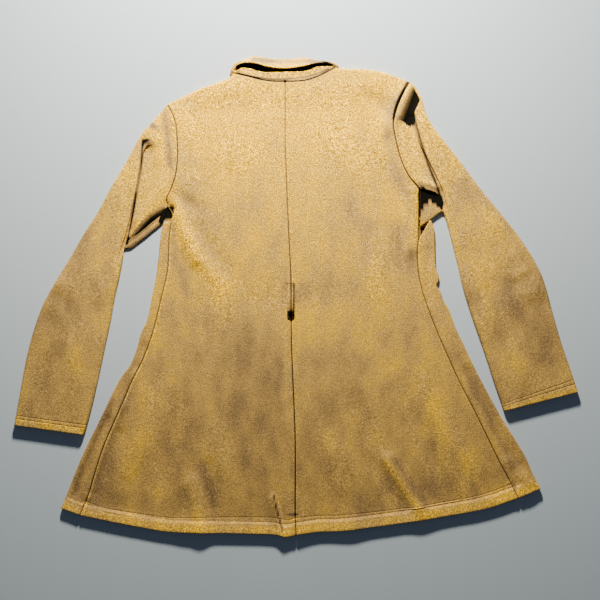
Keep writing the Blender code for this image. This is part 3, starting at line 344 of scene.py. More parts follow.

# Dark hollows: the upper layer sinks in them by their depth, and their shade is painted shade, darkest in
# the deepest part.
# The first points of an outline are its soft side, from which the hollow deepens. Hollows and lines show
# on the cloth between two heights.
OVER_THE_TOP = 20.0
UPPER_LAYER = 2.4  # over the layers that lie on the surface
Hollow = namedtuple("Hollow", "soft crisp reach depth shade low high", defaults=(OVER_THE_TOP,))
HOLLOWS = table(
    Hollow,
    (
        ((214, 391), (204, 374), (196.5, 358), (190.5, 341), (187.5, 331)),
        (
            (187.5, 322), (202, 319.5), (209.5, 313), (222, 313), (222.4, 325.8), (222, 337),
            (226.5, 347), (230, 357), (227.6, 366.3), (222, 377),
        ),
        12, 0, -2.1, 2,
    ),
    (
        ((217, 384), (211, 368), (205, 352), (200, 338), (196.5, 328)),
        (
            (195, 318.5), (202, 317.5), (209.5, 311), (222, 311), (222.4, 325.8), (222, 337),
            (227.5, 347), (231.4, 357), (228.6, 366.3), (223, 377),
        ),
        15, 5, -4, 2,
    ),
    (
        ((-244.6, 287), (-246.4, 278.3), (-256.3, 271), (-266, 270.4)),
        ((-266.8, 279), (-265.7, 287.4), (-257.4, 288.6)),
        14, 0.6, -3.4, 2,
    ),
    (
        ((-225.9, 173.7), (-239.4, 165.6), (-257.4, 153.9), (-273.6, 135), (-289.8, 114.3)),
        ((-296.6, 102.2), (-276.3, 116.6), (-253.1, 135.7), (-233.3, 151.2), (-225, 157.5)),
        9, 3, -3.2, 2,
    ),
    (
        ((-213.6, 169.5),),
        (
            (-208.5, 164.5), (-212, 145), (-220, 144), (-227, 141.2), (-231, 135), (-238.5, 139.5),
            (-235.8, 149.4), (-230.4, 160.2), (-225, 166.5),
        ),
        2, 4, -3.6, -1,
    ),
    (
        ((229, 200),),
        (
            (235, 205), (240.3, 200.7), (246.6, 197), (258.3, 194.2), (270.7, 186), (274, 172),
            (272, 159.4), (259.2, 170), (249, 177), (240.5, 168), (234.4, 160), (231.4, 133), (228, 131),
        ),
        2, 0, -3.6, -1,
    ),
    (
        ((231.7, 130.5),),
        (
            (250.2, 142.2), (269.6, 156.6), (273.6, 145.8), (270, 136.8), (261, 122.4), (257, 129.6),
            (255.4, 141.4), (253.4, 143.6), (243.2, 134), (238.7, 119.2), (233.1, 111.2), (229.8, 110.7),
        ),
        2, 0, -3.6, -1, 4.8,
    ),
    (
        ((-101, 410),),
        (
            (-98, 421), (-85, 426), (-65, 425.6), (-45, 420), (-30, 416), (-9, 416), (22, 420),
            (44, 425.6), (60, 426.4), (74, 422.6), (80, 419), (72, 417.9), (56, 417.1), (40, 416.3),
            (30, 409.9), (-9, 407.7), (-50, 407.3), (-63, 409.5), (-73.8, 415.3), (-84.6, 416.1),
            (-94, 411.7),
        ),
        2, 0, -3.6, -1, 12.6,
    ),
)

# Lines painted into the nap: dark ones are painted shade along seams and in tucks, creases, hollows, the
# neck slot's rims and under the belt loop's end, and light ones are painted highlights on ridges, rims,
# the hem and cuff bands and beside the seams; the three short lines under the collar are marks in the
# cloth
Line = namedtuple("Line", "points width shade low high", defaults=(UPPER_LAYER, OVER_THE_TOP))
NECK_SECOND = table(
    Point,
    (-93.6, 405.2), (-78.5, 401.6), (-54, 397.4), (-30.8, 394.9), (-8.5, 395.6), (21.4, 398.3),
    (43.9, 403.9), (66.2, 413.4),
)
LINES = table(
    Line,
    (shifted(HEM, up=8.5), 8, 1.5),
    (((-493, -215), (-371, -233)), 6, 1.3),
    (((386, -194), (512, -159)), 6, 1.1),
    (((-227, 342), (-222, 300), (-217, 243)), 6, -2),
    (((-238, 326), (-236, 290), (-230, 250)), 6, 0.8),
    (((-250, 314), (-240, 308)), 6, -3),
    (((-256, 303), (-243, 300)), 4.5, 1.3),
    (((-229, 180), (-257, 159), (-291, 119)), 3.4, 1.4),
    (((222.5, 214.5), (236.3, 214), (247.9, 210.5), (260.5, 203)), 2.2, 1.4),
    (((225, 206), (240, 206), (256, 199)), 3.4, -1.4),
    (((-352, -330), (-330, -262), (-296, -180)), 7, -0.9),
    (((-392, -350), (-362, -270), (-318, -180)), 5, -0.9),
    (((398, -300), (352, -205), (300, -100)), 6, -0.8),
    (((172, -290), (198, -332), (228, -372)), 6, 1.2),
    (((186, -285), (214, -330), (242, -368)), 7, -1.1),
    (((-176, -340), (-164, -400)), 9, 0.8),
    (((-158, -300), (-140, -365)), 9, -0.8),
    (((-206, 172), (-186, 110), (-166, 60), (-112, 22)), 9, 0.9),
    (((-212, 130), (-206, 70), (-186, 10)), 7, -0.8),
    (((196, 372), (176, 330), (172, 290)), 8, -0.9),
    (((209.9, 392), (205, 384), (201, 376), (193.5, 360), (187.5, 343.8), (184, 325.8)), 2.6, -5),
    (((-277, 192), (-282, 165), (-286, 144)), 2.2, -1.8, 1.6),
    (((-231, 139), (-215, 142.4)), 1.3, -1.8, 1.6),
    (CENTRE_SEAM, 1.1, -3.8),
    (shifted(CENTRE_SEAM, 1.9), 0.9, 1.1),
    (SIDE_SEAM_LEFT, 1.1, -3),
    (shifted(SIDE_SEAM_LEFT, 2.2), 1.3, 2),
    (SIDE_SEAM_RIGHT, 1.1, -3),
    (shifted(SIDE_SEAM_RIGHT, 2.0, -1.0), 1, 0.8),
    (ARMHOLE_LEFT, 1.2, -4.4),
    (shifted(ARMHOLE_LEFT, -2.0, -0.4), 1.1, 0.9),
    (ARMHOLE_RIGHT, 1.2, -4.4),
    (shifted(ARMHOLE_RIGHT, 2.2), 1.1, 0.9),
    (NECK_LEFT[:-1], 2.2, -5),
    (NECK_RIGHT[:-1], 2.2, -5),
    (NECK_SECOND, 1.5, -3.6),
    (((-66, 431), (-40, 428), (0, 427), (44, 428), (62, 427)), 7, -2.5, -1),
    (((-109, 402.3), (-105.5, 414.2), (-97.9, 423.2), (-87.5, 427)), 1.5, -4.8, -1),
    (((58, 427), (72, 424.4), (84, 418)), 1.5, -4.6, -1),
    (((-33.5, 366.8), (-33.4, 364.6)), 1.5, -3),
    (((12.8, 365.8), (10.2, 362.2)), 1.5, -3.2),
    (((12, 360), (12.4, 334)), 2.2, -1.2),
    (((190, 352), (177, 300), (184, 246), (204, 196)), 13, -1.1),
    (NEAR_RIM, 1.3, 0.9, 10),
    (((-265.2, 284), (-268.8, 236), (-279, 180), (-289.4, 124), (-295, 101)), 2.2, -4.2, 1.6),
    (
        ((221, 328), (222.6, 318), (226.5, 304), (234, 278), (245, 246), (261, 205), (271.5, 174)),
        3, -4.2, 1.6,
    ),
    (((-229, 150), (-253, 133.6), (-276.3, 114.6), (-296, 100.6)), 1.2, -3.2, 2.4, 5.2),
    (((-298.8, 90), (-266.4, 109.8), (-234, 136.8)), 4.5, -2.8, -1, 6.8),
    (((-30.6, -351), (-24, -380), (-14.4, -414)), 1.8, -3.2),
    (((-25, -351), (-18.6, -380), (-10, -410)), 2, 1.2),
    (((-3.6, -384.4), (10.8, -384.4)), 2.2, -2.6),
    (((-7, -394), (12.6, -392)), 3.4, 1.5),
    (((-372, -360), (-358, -360)), 0.9, -1.8),
    (((-372, -364.6), (-364, -364.6)), 1.8, 2),
    (((-376, -368), (-362, -368)), 0.9, -1.8),
    (((396, -324), (405, -340)), 1.2, -2.2),
    (((384, -330), (394, -324)), 2, 1.4),
    (((5, 30), (5, -31)), 1.2, -3.2),
    (((-4.8, 30), (-4.8, -18)), 1.3, 1.6, 7.4),
    (((-0.5, -23), (-0.5, -31)), 4.6, -3.6, 7.4),
    (((-8.6, 33), (-7.4, 29.5)), 1.1, -2.4),
    (((4, 35.4), (14, 34.4)), 3, 1.4),
    (((-9, -55), (-10, -175)), 5, 0.7),
)
LINE_PARTS = 5
LINE_REACH = 3.0  # in widths
DEPTH_FADE = 1.0
EDGE_FADE = 1.0
# painted light: crease troughs get painted shade and crease ridges a painted highlight, by this much per
# millimetre
CREASE_PAINTED_LIGHT = 0.3
CREASE_SCALE = 1.5
CREASE_ENDS = (0.06, 0.94)  # the part of a half wave along a crease

# Topstitch rows above the hem, from left to right: where along the hem, and how far each row is from it
HemBand = namedtuple("HemBand", "x low high")
HEM_BAND = table(
    HemBand,
    (-380, 18.5, 26.5), (-331, 13.5, 20.5), (-261, 15, 23), (-158, 19, 27.5), (-34, 21.5, 30),
    (60, 23, 28.5), (215, 20.5, 24.8), (277, 20.8, 25), (410, 20.5, 25.5),
)
CUFF_LOW = 12.2
CUFF_HIGH = 18.2

# Shares of the coat's length and of its edges, as in the solids
UNDERARM_SHARE = 0.73
NECK_COLUMNS = (0.08, 0.17, 0.26, 0.35, 0.40)
FRONT_START = 0.33
SHOULDER_LEAD = 0.02  # how far before the neck's end the shoulder's roll begins
SHOULDER_FADE = 0.06
NECK_CORNER = 8.0  # the front's neck edge joins the shoulder within an eighth of it
FREE_EDGE_FADE = 0.05
FREE_EDGE_END = 0.03

# The back's edge above the front's strip, and the sleeve's lower layer
FREE_EDGE_WIDTH = 3.0
FREE_EDGE_DROP = 2.6
BOTTOM_POINTS = 5

# Fine form of the cloth
EDGE_STEPS = (0.0, 0.3, 0.7, 1.2, 1.8, 2.6, 3.6, 5.0, 7.0, 9.6, 13.0)
GROOVE_OFFSETS = (-2.2, -1.3, -0.7, -0.3, 0.0, 0.3, 0.7, 1.3, 2.2)
GROOVE_DEPTH = 0.55
GROOVE_WIDTH = 0.7
SEAM_SINK = 1.1
SEAM_WIDTH = 1.1
SEAM_PUFF = 0.35
PUFF_PLACE = 4.2
PUFF_WIDTH = 2.4
ROLL_WIDTH = 5.0
ROLL_TURNS = 7
HEM_REACHES = (20.0, 10.0, 4.0, 1.0)  # how far the hem's inner layer is from its turn, row by row
HEM_TURNS = 9
HEM_CLEAR = 1.4
HEM_SLACK = 0.2
HEM_STEPS = (0.0, 0.8, 1.6, 2.4, 3.4, 4.6)
STRIP_STEPS = (*HEM_STEPS, 8.0)
STRIP_START = 12.0
CUFF_STEPS = (0.0, 0.8, 1.6, 2.4, 3.4, 5.0, 7.5)
GROOVE_CLEAR = 4.0
MEASURE_PLACES = 40
BACK_MIDDLE_COLUMNS = 96
BACK_ROWS = (190, 60)  # under the armhole and beside it
STRIP_ROWS = 170
STRIP_COLUMNS = 8
STRIP_EDGE_SHARE = 0.6
FRONT_UNDER_COLUMNS = 44
OVERLAP_COLUMNS = 7
FOLD_TURNS = 13
FOLD_INSIDE = 4.0  # the side fold is as high as the cloth this far inside it
RIM_REACH = 3.0  # it takes the back's height within a third of the strip
HEM_CURVE_FADE = 3  # the power by which the hem's curve dies out up the front
CHEST_ROWS = 24
SLEEVE_TOP_POINTS = 40
SLEEVE_WEB_POINTS = 26
SLEEVE_LOW_POINTS = 12
SLEEVE_ROWS = (100, 200)
SLEEVE_COARSE = 0.57  # the share of the sleeve with the first of these rows
LIP_PARTS = 6
TUCK_CURL = 140.0
TUCK_TURNS = 7
TUCK_FOOT_PAST = 0.7
TUCK_END_PAST = 3.7
TUCK_OPEN_PAST = 36.0
TUCK_ROOM = 1.5
WEB_DIP = 0.1
WEB_FALL = 1.0
SEAM_GAP_FADE = 8.0
NECK_TOP = 392.0
NECK_REACH = 210.0
NECK_FADE = 60.0
COLLAR_PARTS = 10
FLOOR_CLEARANCE = 0.02
LOOP_PARTS = 3
LOOP_COLUMNS = 13
LOOP_ROUND = 0.7
LOOP_SQUARENESS = 6

THREAD_RADIUS = 0.24
THREAD_SIDES = 6
ThreadRing = namedtuple("ThreadRing", "share radius lift")
THREAD_RINGS = table(
    ThreadRing,
    (0, 0.35, -1), (0.18, 0.85, 0.1), (0.5, 1, 0.45), (0.82, 0.85, 0.1), (1, 0.35, -1),
)
STITCH_LENGTH = 2.4
STITCH_PITCH = 3.2
HEM_STITCH_START = 0.004
HEM_STITCH_END = 0.992
HEM_STITCH_PLACES = 400
THREAD_TONES = ((0.36, 0.22, 0.08), (0.5, 0.32, 0.13))

# Suede, in the shader's own units: metres for places, linear values for tones
TONES = ((0.285, 0.18, 0.082), (0.52, 0.318, 0.092), (0.7, 0.415, 0.05), (0.86, 0.478, 0.014))
TONE_PLACES = (0.16, 0.5, 0.74, 1.0)
LOOP_TONES = ((0.17, 0.094, 0.036), (0.3, 0.168, 0.052), (0.42, 0.25, 0.07), (0.55, 0.33, 0.08))
# painted shade: attribute values below the first go from the darkest tone to near black at the second,
# where the colour keeps only the third's share of its light; the weight says how far the attribute moves
# the tone
PAINTED_SHADE_START = -1.1
PAINTED_SHADE_DEEPEST = -3.2
DARKEST_PAINTED_SHADE = 0.006
NAP_AND_LIGHT_WEIGHT = 0.26
BRIGHT_GRAIN = 0.5
Grain = namedtuple("Grain", "scale detail weight")
CLOUDS = Grain(10.0, 3.0, 0.9)
STREAKS = Grain(36.0, 4.0, 0.9)
STREAK_STRETCH = (1.0, 0.45, 1.0)
MOTTLE = Grain(230.0, 3.0, 1.1)
MOTTLE_BUMP = 0.00035
GRAIN = Grain(520.0, 2.0, 4.4)
GRAIN_BUMP = 0.00012
THREAD_GRAIN = Grain(900.0, 2.0, 1.0)
NOISE_ROUGHNESS = 0.55
MATT = 0.9
SPECULAR = 0.12
SHEEN = 0.04
SHEEN_ROUGHNESS = 0.45
SHEEN_TINT = (1.0, 0.9, 0.7, 1.0)
THREAD_ROUGHNESS = 0.6

# The studio, in metres
FLOOR_SIZE = 12.0
FLOOR_Z = -0.00005
FLOOR_TONE = (0.55, 0.65, 0.84)
KEY_PLACE = (-0.05, 1.2, 0.55)
KEY_AIM = (0.0, 0.0, 0.0)
KEY_SIZE = 0.16
KEY_POWER = 55.0
KEY_COLOUR = (1.0, 0.92, 0.68)
FILL_COLOUR = (0.78, 0.9, 1.0)
FILL_STRENGTH = 0.072
CAMERA_PLACE = (0.0162, 0.0, 1.5)
CAMERA_LENS = 50.0
CAMERA_SENSOR = 36.0

# What each piece was cut to, in metres and square metres, what it lies on, and how far its clouds and
# grain are shifted from the others'
Cut = namedtuple("Cut", "width length area rests_on shift")
UNSHIFTED = (0.0, 0.0, 0.0)
RIGHT_SHIFT = (0.31, 0.17, 0.0)
CUTS = {
    "back_left": Cut(0.4, 0.86, 0.225, ["front_left"], UNSHIFTED),
    "back_right": Cut(0.42, 0.86, 0.235, ["front_right"], UNSHIFTED),
    "front_left": Cut(0.5, 0.86, 0.27, ["floor"], UNSHIFTED),
    "front_right": Cut(0.52, 0.86, 0.29, ["floor"], RIGHT_SHIFT),
    "sleeve_left": Cut(0.37, 0.64, 0.145, ["floor"], UNSHIFTED),
    "sleeve_right": Cut(0.37, 0.64, 0.15, ["floor"], RIGHT_SHIFT),
    "collar": Cut(0.43, 0.045, 0.0155, ["floor"], (0.2, 0.4, 0.0)),
    "belt_loop": Cut(0.0126, 0.072, 0.0009, ["back_left", "back_right"], (0.1, 0.6, 0.0)),
}


class Path:
    """A smooth curve through points, measured from 0 to 1 along its chords."""

    def __init__(self, points, measured=None):
        self.points = np.array(points, float)
        line = self.points if measured is None else np.array(measured, float)
        steps = np.linalg.norm(np.diff(line, axis=0), axis=1)
        self.length = steps.sum()
        self.marks = np.concatenate([[0.0], np.cumsum(steps)]) / self.length
        numbers = np.arange(len(self.points))
        before = np.maximum(numbers - 1, 0)
        after = np.minimum(numbers + 1, len(self.points) - 1)
        rise = self.points[after] - self.points[before]
        self.slopes = rise / (self.marks[after] - self.marks[before])[:, None]

    def at(self, share):
        share = np.clip(np.asarray(share, float), 0.0, 1.0)
        index = np.searchsorted(self.marks, share, side="right") - 1
        index = np.clip(index, 0, len(self.marks) - 2)
        span = (self.marks[index + 1] - self.marks[index])[..., None]
        t = (share - self.marks[index])[..., None] / span
        leave, arrive = self.slopes[index] * span, self.slopes[index + 1] * span
        return (
            self.points[index] * (2 * t**3 - 3 * t**2 + 1)
            + leave * (t**3 - 2 * t**2 + t)
            + self.points[index + 1] * (3 * t**2 - 2 * t**3)
            + arrive * (t**3 - t**2)
        )

    def filled(self, parts):
        """The curve with each stretch between its points cut into equal parts."""
        numbers = np.arange(len(self.marks))
        steps = np.linspace(0, len(self.marks) - 1, (len(self.marks) - 1) * parts + 1)
        return self.at(np.interp(steps, numbers, self.marks))


def mix(low, high, share):
    return low + (high - low) * share


def ease(share):
    share = np.clip(share, 0.0, 1.0)
    return share * share * (3 - 2 * share)


def unit(vectors):
    return vectors / np.maximum(np.linalg.norm(vectors, axis=-1, keepdims=True), TINY)


def height_over(points, x):
    """The y of an edge that runs across the coat, at x."""
    return np.interp(x, *zip(*points))


def square_distance(x, y, start, end):
    """The square of how far places are from a straight stretch."""
    (x0, y0), (x1, y1) = start, end
    run, rise = x1 - x0, y1 - y0
    share = np.clip(((x - x0) * run + (y - y0) * rise) / (run**2 + rise**2), 0, 1)
    return (x - x0 - run * share) ** 2 + (y - y0 - rise * share) ** 2


def relief(x, y, folds):
    """The height that ridges and troughs add at places."""
    total = np.zeros_like(x)
    for fold in folds:
        away = square_distance(x, y, fold[0:2], fold[2:4])
        total = total + fold.height * np.exp(-away / fold.width**2)
    return total


def crease_relief(x, y, creases):
    """The height that soft creases add: they bow to one side and fade at their ends."""
    total = np.zeros_like(x)
    for crease in creases:
        run, rise = crease.x1 - crease.x0, crease.y1 - crease.y0
        length = math.hypot(run, rise)
        along = ((x - crease.x0) * run + (y - crease.y0) * rise) / length**2
        share = np.clip(along, 0, 1)
        side = ((y - crease.y0) * run - (x - crease.x0) * rise) / length
        side = side - crease.bow * 4 * share * (1 - share)
        away = side**2 + ((along - share) * length) ** 2
        fade = np.sin(math.pi * mix(*CREASE_ENDS, share))
        total = total + crease.height * fade * np.exp(-away / crease.width**2)
    return total * CREASE_SCALE


def coat_height(x, y):
    """The height of the back's outer face, and of the fronts where they turn onto the back."""
    hem = HEM_LIFT * ease(1 - (y - height_over(HEM, x)) / HEM_DEPTH)
    neck = NECK_LIFT * ease(1 - (NECK_TOP - y) / NECK_DEPTH) * ease((NECK_REACH - abs(x)) / NECK_FADE)
    folds = relief(x, y, BODY_FOLDS) + crease_relief(x, y, BODY_CREASES)
    return np.maximum(BACK_HEIGHT + hem + neck + folds - hollow_depth(x, y), LOWEST_TOP)


def round_drop(distance):
    """The share of the drop at a distance from an edge that rolls down."""
    over = 1 - np.clip(distance / ROLL_WIDTH, 0, 1)
    return 1 - np.sqrt(1 - over**2)


def seam_sink(distance):
    """A seam pulls the cloth down beside it, and its allowances puff it up a little further on."""
    sink = SEAM_SINK * np.exp(-((distance / SEAM_WIDTH) ** 2))
    return sink - SEAM_PUFF * np.exp(-(((distance - PUFF_PLACE) / PUFF_WIDTH) ** 2))


def grooves(distance, rows):
    """Topstitches press the cloth down along their rows."""
    total = np.zeros_like(distance)
    for row in rows:
        total = total + GROOVE_DEPTH * np.exp(-(((distance - row) / GROOVE_WIDTH) ** 2))
    return total


def coons(bottom, top, near, far, across, up):
    """Places inside four edges: bottom and top run across, near and far run up."""
    a, u = across[..., None], up[..., None]
    corners = (
        bottom(0) * (1 - a) * (1 - u)
        + bottom(1) * a * (1 - u)
        + top(0) * (1 - a) * u
        + top(1) * a * u
    )
    edges = bottom(across) * (1 - u) + top(across) * u + near(up) * (1 - a) + far(up) * a
    return edges - corners


def joined(places, heights):
    return np.concatenate([places, heights[..., None]], axis=-1)


def added(name, data):
    """An object in the scene from its data."""
    item = bpy.data.objects.new(name, data)
    bpy.context.scene.collection.objects.link(item)
    return item


def new_piece(name, places, faces, finish):
    """A smooth mesh from places in millimetres, with its finish."""
    mesh = bpy.data.meshes.new(name)
    mesh.from_pydata((places * MILLIMETRE).tolist(), [], faces)
    mesh.shade_smooth()
    mesh.materials.append(finish)
    return added(name, mesh)


def cloth(name, grid, finish, wall=WALL, ring=False, around=False, flip=False):
    """A cloth wall whose outer face runs through rows of points; nan marks a place with no cloth.

    ring joins each row's end to its start, around joins the last row to the first, and flip turns
    the outer face to the other side.
    """
    places = grid.reshape(-1, 3)
    places[:, 2] = np.maximum(places[:, 2], 0)
    kept = ~np.isnan(places[:, 0])
    numbers = np.where(kept, np.cumsum(kept) - 1, -1).reshape(grid.shape[:2])
    low = numbers if around else numbers[:-1]
    high = np.roll(numbers, -1, axis=0) if around else numbers[1:]
    corners = [low, np.roll(low, -1, axis=1), np.roll(high, -1, axis=1), high]
    if not ring:
        corners = [corner[:, :-1] for corner in corners]
    faces = np.stack(corners, axis=-1).reshape(-1, 4)
    faces = faces[(faces >= 0).all(axis=1)]
    if flip:
        faces = faces[:, ::-1]
    piece = new_piece(name, places[kept], faces.tolist(), finish)
    # the attribute carries the pile's patches together with painted shade and painted highlights
    nap_and_painted_light = piece.data.attributes.new("nap_and_painted_light", "FLOAT", "POINT")
    nap_and_painted_light.data.foreach_set("value", painted_light_and_nap(places[kept]).astype(np.float32))
    solidify = piece.modifiers.new("cloth", "SOLIDIFY")
    solidify.thickness = wall * MILLIMETRE
    solidify.offset = -1.0
    solidify.use_even_offset = False
    return piece


def line_distance(x, y, points):
    """How far places are from a line through points."""
    nearest = np.full(x.shape, np.inf)
    for start, end in zip(points[:-1], points[1:]):
        nearest = np.minimum(nearest, square_distance(x, y, start, end))
    return np.sqrt(nearest)


def hollow_share(x, y, hollow):
    """0 outside a hollow and along its soft side, 1 in its depth."""
    outline = np.array([*hollow.soft, *hollow.crisp], float)
    inside = np.zeros(x.shape, bool)
    for (x0, y0), (x1, y1) in zip(outline, np.roll(outline, -1, axis=0)):
        between = (y0 > y) != (y1 > y)
        crossing = x0 + (y - y0) * (x1 - x0) / (y1 - y0 if y1 != y0 else TINY)
        inside ^= between & (x < crossing)
    share = np.zeros(x.shape)
    edge = (hollow.soft[-1], *hollow.crisp, hollow.soft[0])
    share[inside] = ease(line_distance(x[inside], y[inside], edge) / EDGE_FADE)
    if len(hollow.soft) > 1:
        share[inside] *= ease(line_distance(x[inside], y[inside], hollow.soft) / hollow.reach)
    return share


def hollow_depth(x, y):
    """How far the upper layer sinks in the hollows."""
    total = np.zeros(x.shape)
    for hollow in HOLLOWS:
        if hollow.depth:
            total = np.maximum(total, hollow.depth * hollow_share(x, y, hollow))
    return total


def between_heights(z, low, high):
    return ease((z - low) / DEPTH_FADE) * ease((high - z) / DEPTH_FADE)


def painted_light_and_nap(places):
    """How light the cloth is at places: patches where its pile lies another way, painted shade in the
    troughs of creases and folds and in the hollows, painted highlights on their ridges, and painted dark
    and light lines, a few of them marks.
    """
    x, y, z = places.T
    shade = np.zeros(len(places))
    for patch in NAP_PATCHES:
        across, along = (x - patch.x) / patch.across, (y - patch.y) / patch.along
        shade += patch.shade * np.exp(-(across**2) - along**2)
    upper = ease((z - (LOWEST_TOP - 1)) / DEPTH_FADE)
    creases = (*BODY_CREASES, *SLEEVE_CREASES_LEFT, *SLEEVE_CREASES_RIGHT)
    # painted shade in the troughs and painted highlights on the ridges of the creases, and at half
    # strength of the body's folds
    shade += CREASE_PAINTED_LIGHT * upper * (crease_relief(x, y, creases) + relief(x, y, BODY_FOLDS) / 2)
    # painted shade in the hollows
    for hollow in HOLLOWS:
        share = hollow_share(x, y, hollow) * between_heights(z, hollow.low, hollow.high)
        shade = mix(shade, np.minimum(shade, hollow.shade), share)
    # painted shade and painted highlights along the lines
    for line in LINES:
        points = Path(line.points).filled(LINE_PARTS)
        reach = line.width * LINE_REACH
        low, high = points.min(axis=0) - reach, points.max(axis=0) + reach
        near = (x > low[0]) & (x < high[0]) & (y > low[1]) & (y < high[1])
        distance = line_distance(x[near], y[near], points)
        weight = between_heights(z[near], line.low, line.high)
        shade[near] += line.shade * weight * np.exp(-((distance / line.width) ** 2))
    return shade


def turned_hem(grid, wall, flip, ring=False):
    """The grid with its first edge turned back inside, as a hem is."""
    radius = wall + HEM_SLACK / 2
    edge = grid[0]
    inward = unit(grid[2] - edge)
    ahead = np.roll(edge, -1, axis=0) - np.roll(edge, 1, axis=0)
    along = unit(ahead if ring else np.gradient(edge, axis=0))
    normal = unit(np.cross(along, inward)) * (-1 if flip else 1)
    centre = edge + inward * radius - normal * radius
    rows = [centre - normal * radius + inward * reach for reach in HEM_REACHES]
    for turn in np.radians(np.linspace(180, 0, HEM_TURNS)):
        rows.append(centre + normal * radius * np.cos(turn) - inward * radius * np.sin(turn))
    depth = np.linalg.norm(grid - edge, axis=-1).min(axis=1)
    return np.concatenate([np.array(rows), grid[depth > radius * HEM_CLEAR]])


def two_curves(share, limit, first, second):
    """Places along two curves that meet at a share of the way."""
    share = np.asarray(share, float)
    beyond = (share - limit) / (1 - limit)
    return np.where((share < limit)[..., None], first(share / limit), second(beyond))


class Side:
    """The curves of one side of the coat, left or right as it is seen from above."""

    def __init__(self, name):
        left = name == "left"
        self.name = name
        self.sign = -1 if left else 1
        self.centre = Path(CENTRE_SEAM)
        self.neck = Path(NECK_LEFT if left else NECK_RIGHT)
        self.shoulder = Path(SHOULDER_LEFT if left else SHOULDER_RIGHT)
        self.armhole = Path(ARMHOLE_LEFT if left else ARMHOLE_RIGHT)
        self.seam = Path(SIDE_SEAM_LEFT if left else SIDE_SEAM_RIGHT)
        self.fold = Path(SIDE_FOLD_LEFT if left else SIDE_FOLD_RIGHT)
        self.front_neck = Path(FRONT_NECK_LEFT if left else FRONT_NECK_RIGHT)
        self.underarm = np.array(UNDERARM_LEFT if left else UNDERARM_RIGHT)
        self.strip_top = STRIP_TOP_LEFT if left else STRIP_TOP_RIGHT
        self.free_edge_drop = 0.0 if left else FREE_EDGE_DROP
        self.sleeve = SLEEVE_LEFT if left else SLEEVE_RIGHT
        self.sleeve_folds = SLEEVE_FOLDS_LEFT if left else SLEEVE_FOLDS_RIGHT
        self.sleeve_pits = SLEEVE_PITS_LEFT if left else SLEEVE_PITS_RIGHT
        self.sleeve_creases = SLEEVE_CREASES_LEFT if left else SLEEVE_CREASES_RIGHT
        start, end = CENTRE_SEAM[0], (SIDE_SEAM_LEFT if left else SIDE_SEAM_RIGHT)[0]
        low, high = min(start.x, end.x) + 1, max(start.x, end.x) - 1
        between = [point for point in HEM if low < point.x < high][:: self.sign]
        self.hem = Path([start, *between, end])
        self.neck_share = self.neck.length / (self.neck.length + self.shoulder.length)
        self.low_lift = 0.0 if left else LOW_LIFT_RIGHT
        self.lip_height = LIP_HEIGHT if left else LIP_HEIGHT_RIGHT

    def top_edge(self, share):
        return two_curves(share, self.neck_share, self.neck.at, self.shoulder.at)

    def front_shoulder(self, share):
        """The shoulder's line, drawn to the end of the front's neck edge at its start."""
        apart = self.front_neck.points[-1] - self.shoulder.at(0)
        return apart * (1 - ease(share * NECK_CORNER))[..., None] + self.shoulder.at(share)

    def front_top_edge(self, share):
        return two_curves(share, self.neck_share, self.front_neck.at, self.front_shoulder)

    def side_edge(self, up):
        return two_curves(up, UNDERARM_SHARE, self.seam.at, lambda share: self.armhole.at(1 - share))

    def shoulder_roll(self, share):
        """How much of the shoulder fold's roll an edge has, none along the neck."""
        return ease((share - self.neck_share + SHOULDER_LEAD) / SHOULDER_FADE)

    def free_edge(self, up):
        """How far the back's edge rolls down above the front's strip."""
        share = up / UNDERARM_SHARE
        start = ease((share - self.strip_top) / FREE_EDGE_FADE)
        return self.free_edge_drop * (start * ease((1 - share) / FREE_EDGE_END))

    def armhole_bend(self, share):
        """How far the armhole lies from a straight line between its ends."""
        straight = mix(self.armhole.at(0), self.armhole.at(1), np.asarray(share)[..., None])
        return self.armhole.at(share) - straight

    def back_place(self, across, up):
        """Places on the back, inside its seam gaps."""
        across, up = np.broadcast_arrays(across, up)
        place = coons(self.hem.at, self.top_edge, self.centre.at, self.side_edge, across, up)
        shift = self.sign * SEAM_GAP / 2 * (1 - 2 * across)
        return place + np.stack([shift, np.zeros_like(shift)], axis=-1)


def hem_bands(x):
    """How far both topstitch rows are from the hem, at x."""
    marks, low, high = zip(*HEM_BAND)
    return np.interp(x, marks, low), np.interp(x, marks, high)


def edge_columns(width, count):
    """Shares across a width, closer together near both ends."""
    near = np.array(EDGE_STEPS) / width
    middle = np.linspace(near[-1], 1 - near[-1], count)[1:-1]
    return np.concatenate([near, middle, 1 - near[::-1]])


def back_surface(side, across, up):
    """The outer face of the back, with its seams and topstitch rows."""
    across, up = np.broadcast_arrays(across, up)
    place = side.back_place(across, up)
    x, y = place[..., 0], place[..., 1]
    top = coat_height(x, y)
    width = np.linalg.norm(side.side_edge(up) - side.centre.at(up), axis=-1)
    length = np.linalg.norm(side.top_edge(across) - side.hem.at(across), axis=-1)
    hem_distance = up * length
    top_distance = (1 - up) * length
    roll = side.shoulder_roll(across)
    z = mix(top, top / 2 + RELEASE, roll * round_drop(top_distance))
    z = z - seam_sink(across * width) - seam_sink((1 - across) * width)
    z = z - (1 - roll) * seam_sink(top_distance)
    low, high = hem_bands(x)
    z = z - grooves(hem_distance - low, (0.0,)) - grooves(hem_distance - high, (0.0,))
    z = z - ease(1 - (1 - across) * width / FREE_EDGE_WIDTH) * side.free_edge(up)
    return joined(place, np.maximum(z, LOWEST_TOP - 1))


def spaced(steps, rows, middle, counts, length):
    """Distances along a length, close together at its start, its topstitch rows and its end."""
    distances = [steps, *(row + np.array(GROOVE_OFFSETS) for row in rows)]
    distances.append(np.linspace(rows[-1] + GROOVE_CLEAR, middle, counts[0]))
    distances.append(np.linspace(middle, length - EDGE_STEPS[-1], counts[1])[1:-1])
    return np.concatenate([*distances, length - np.array(EDGE_STEPS[::-1])])


def back_rows(length, low, high):
    """Shares of the way up from the hem."""
    steps = (*HEM_STEPS, low / 2)
    return spaced(steps, (low, high), UNDERARM_SHARE * length, BACK_ROWS, length) / length


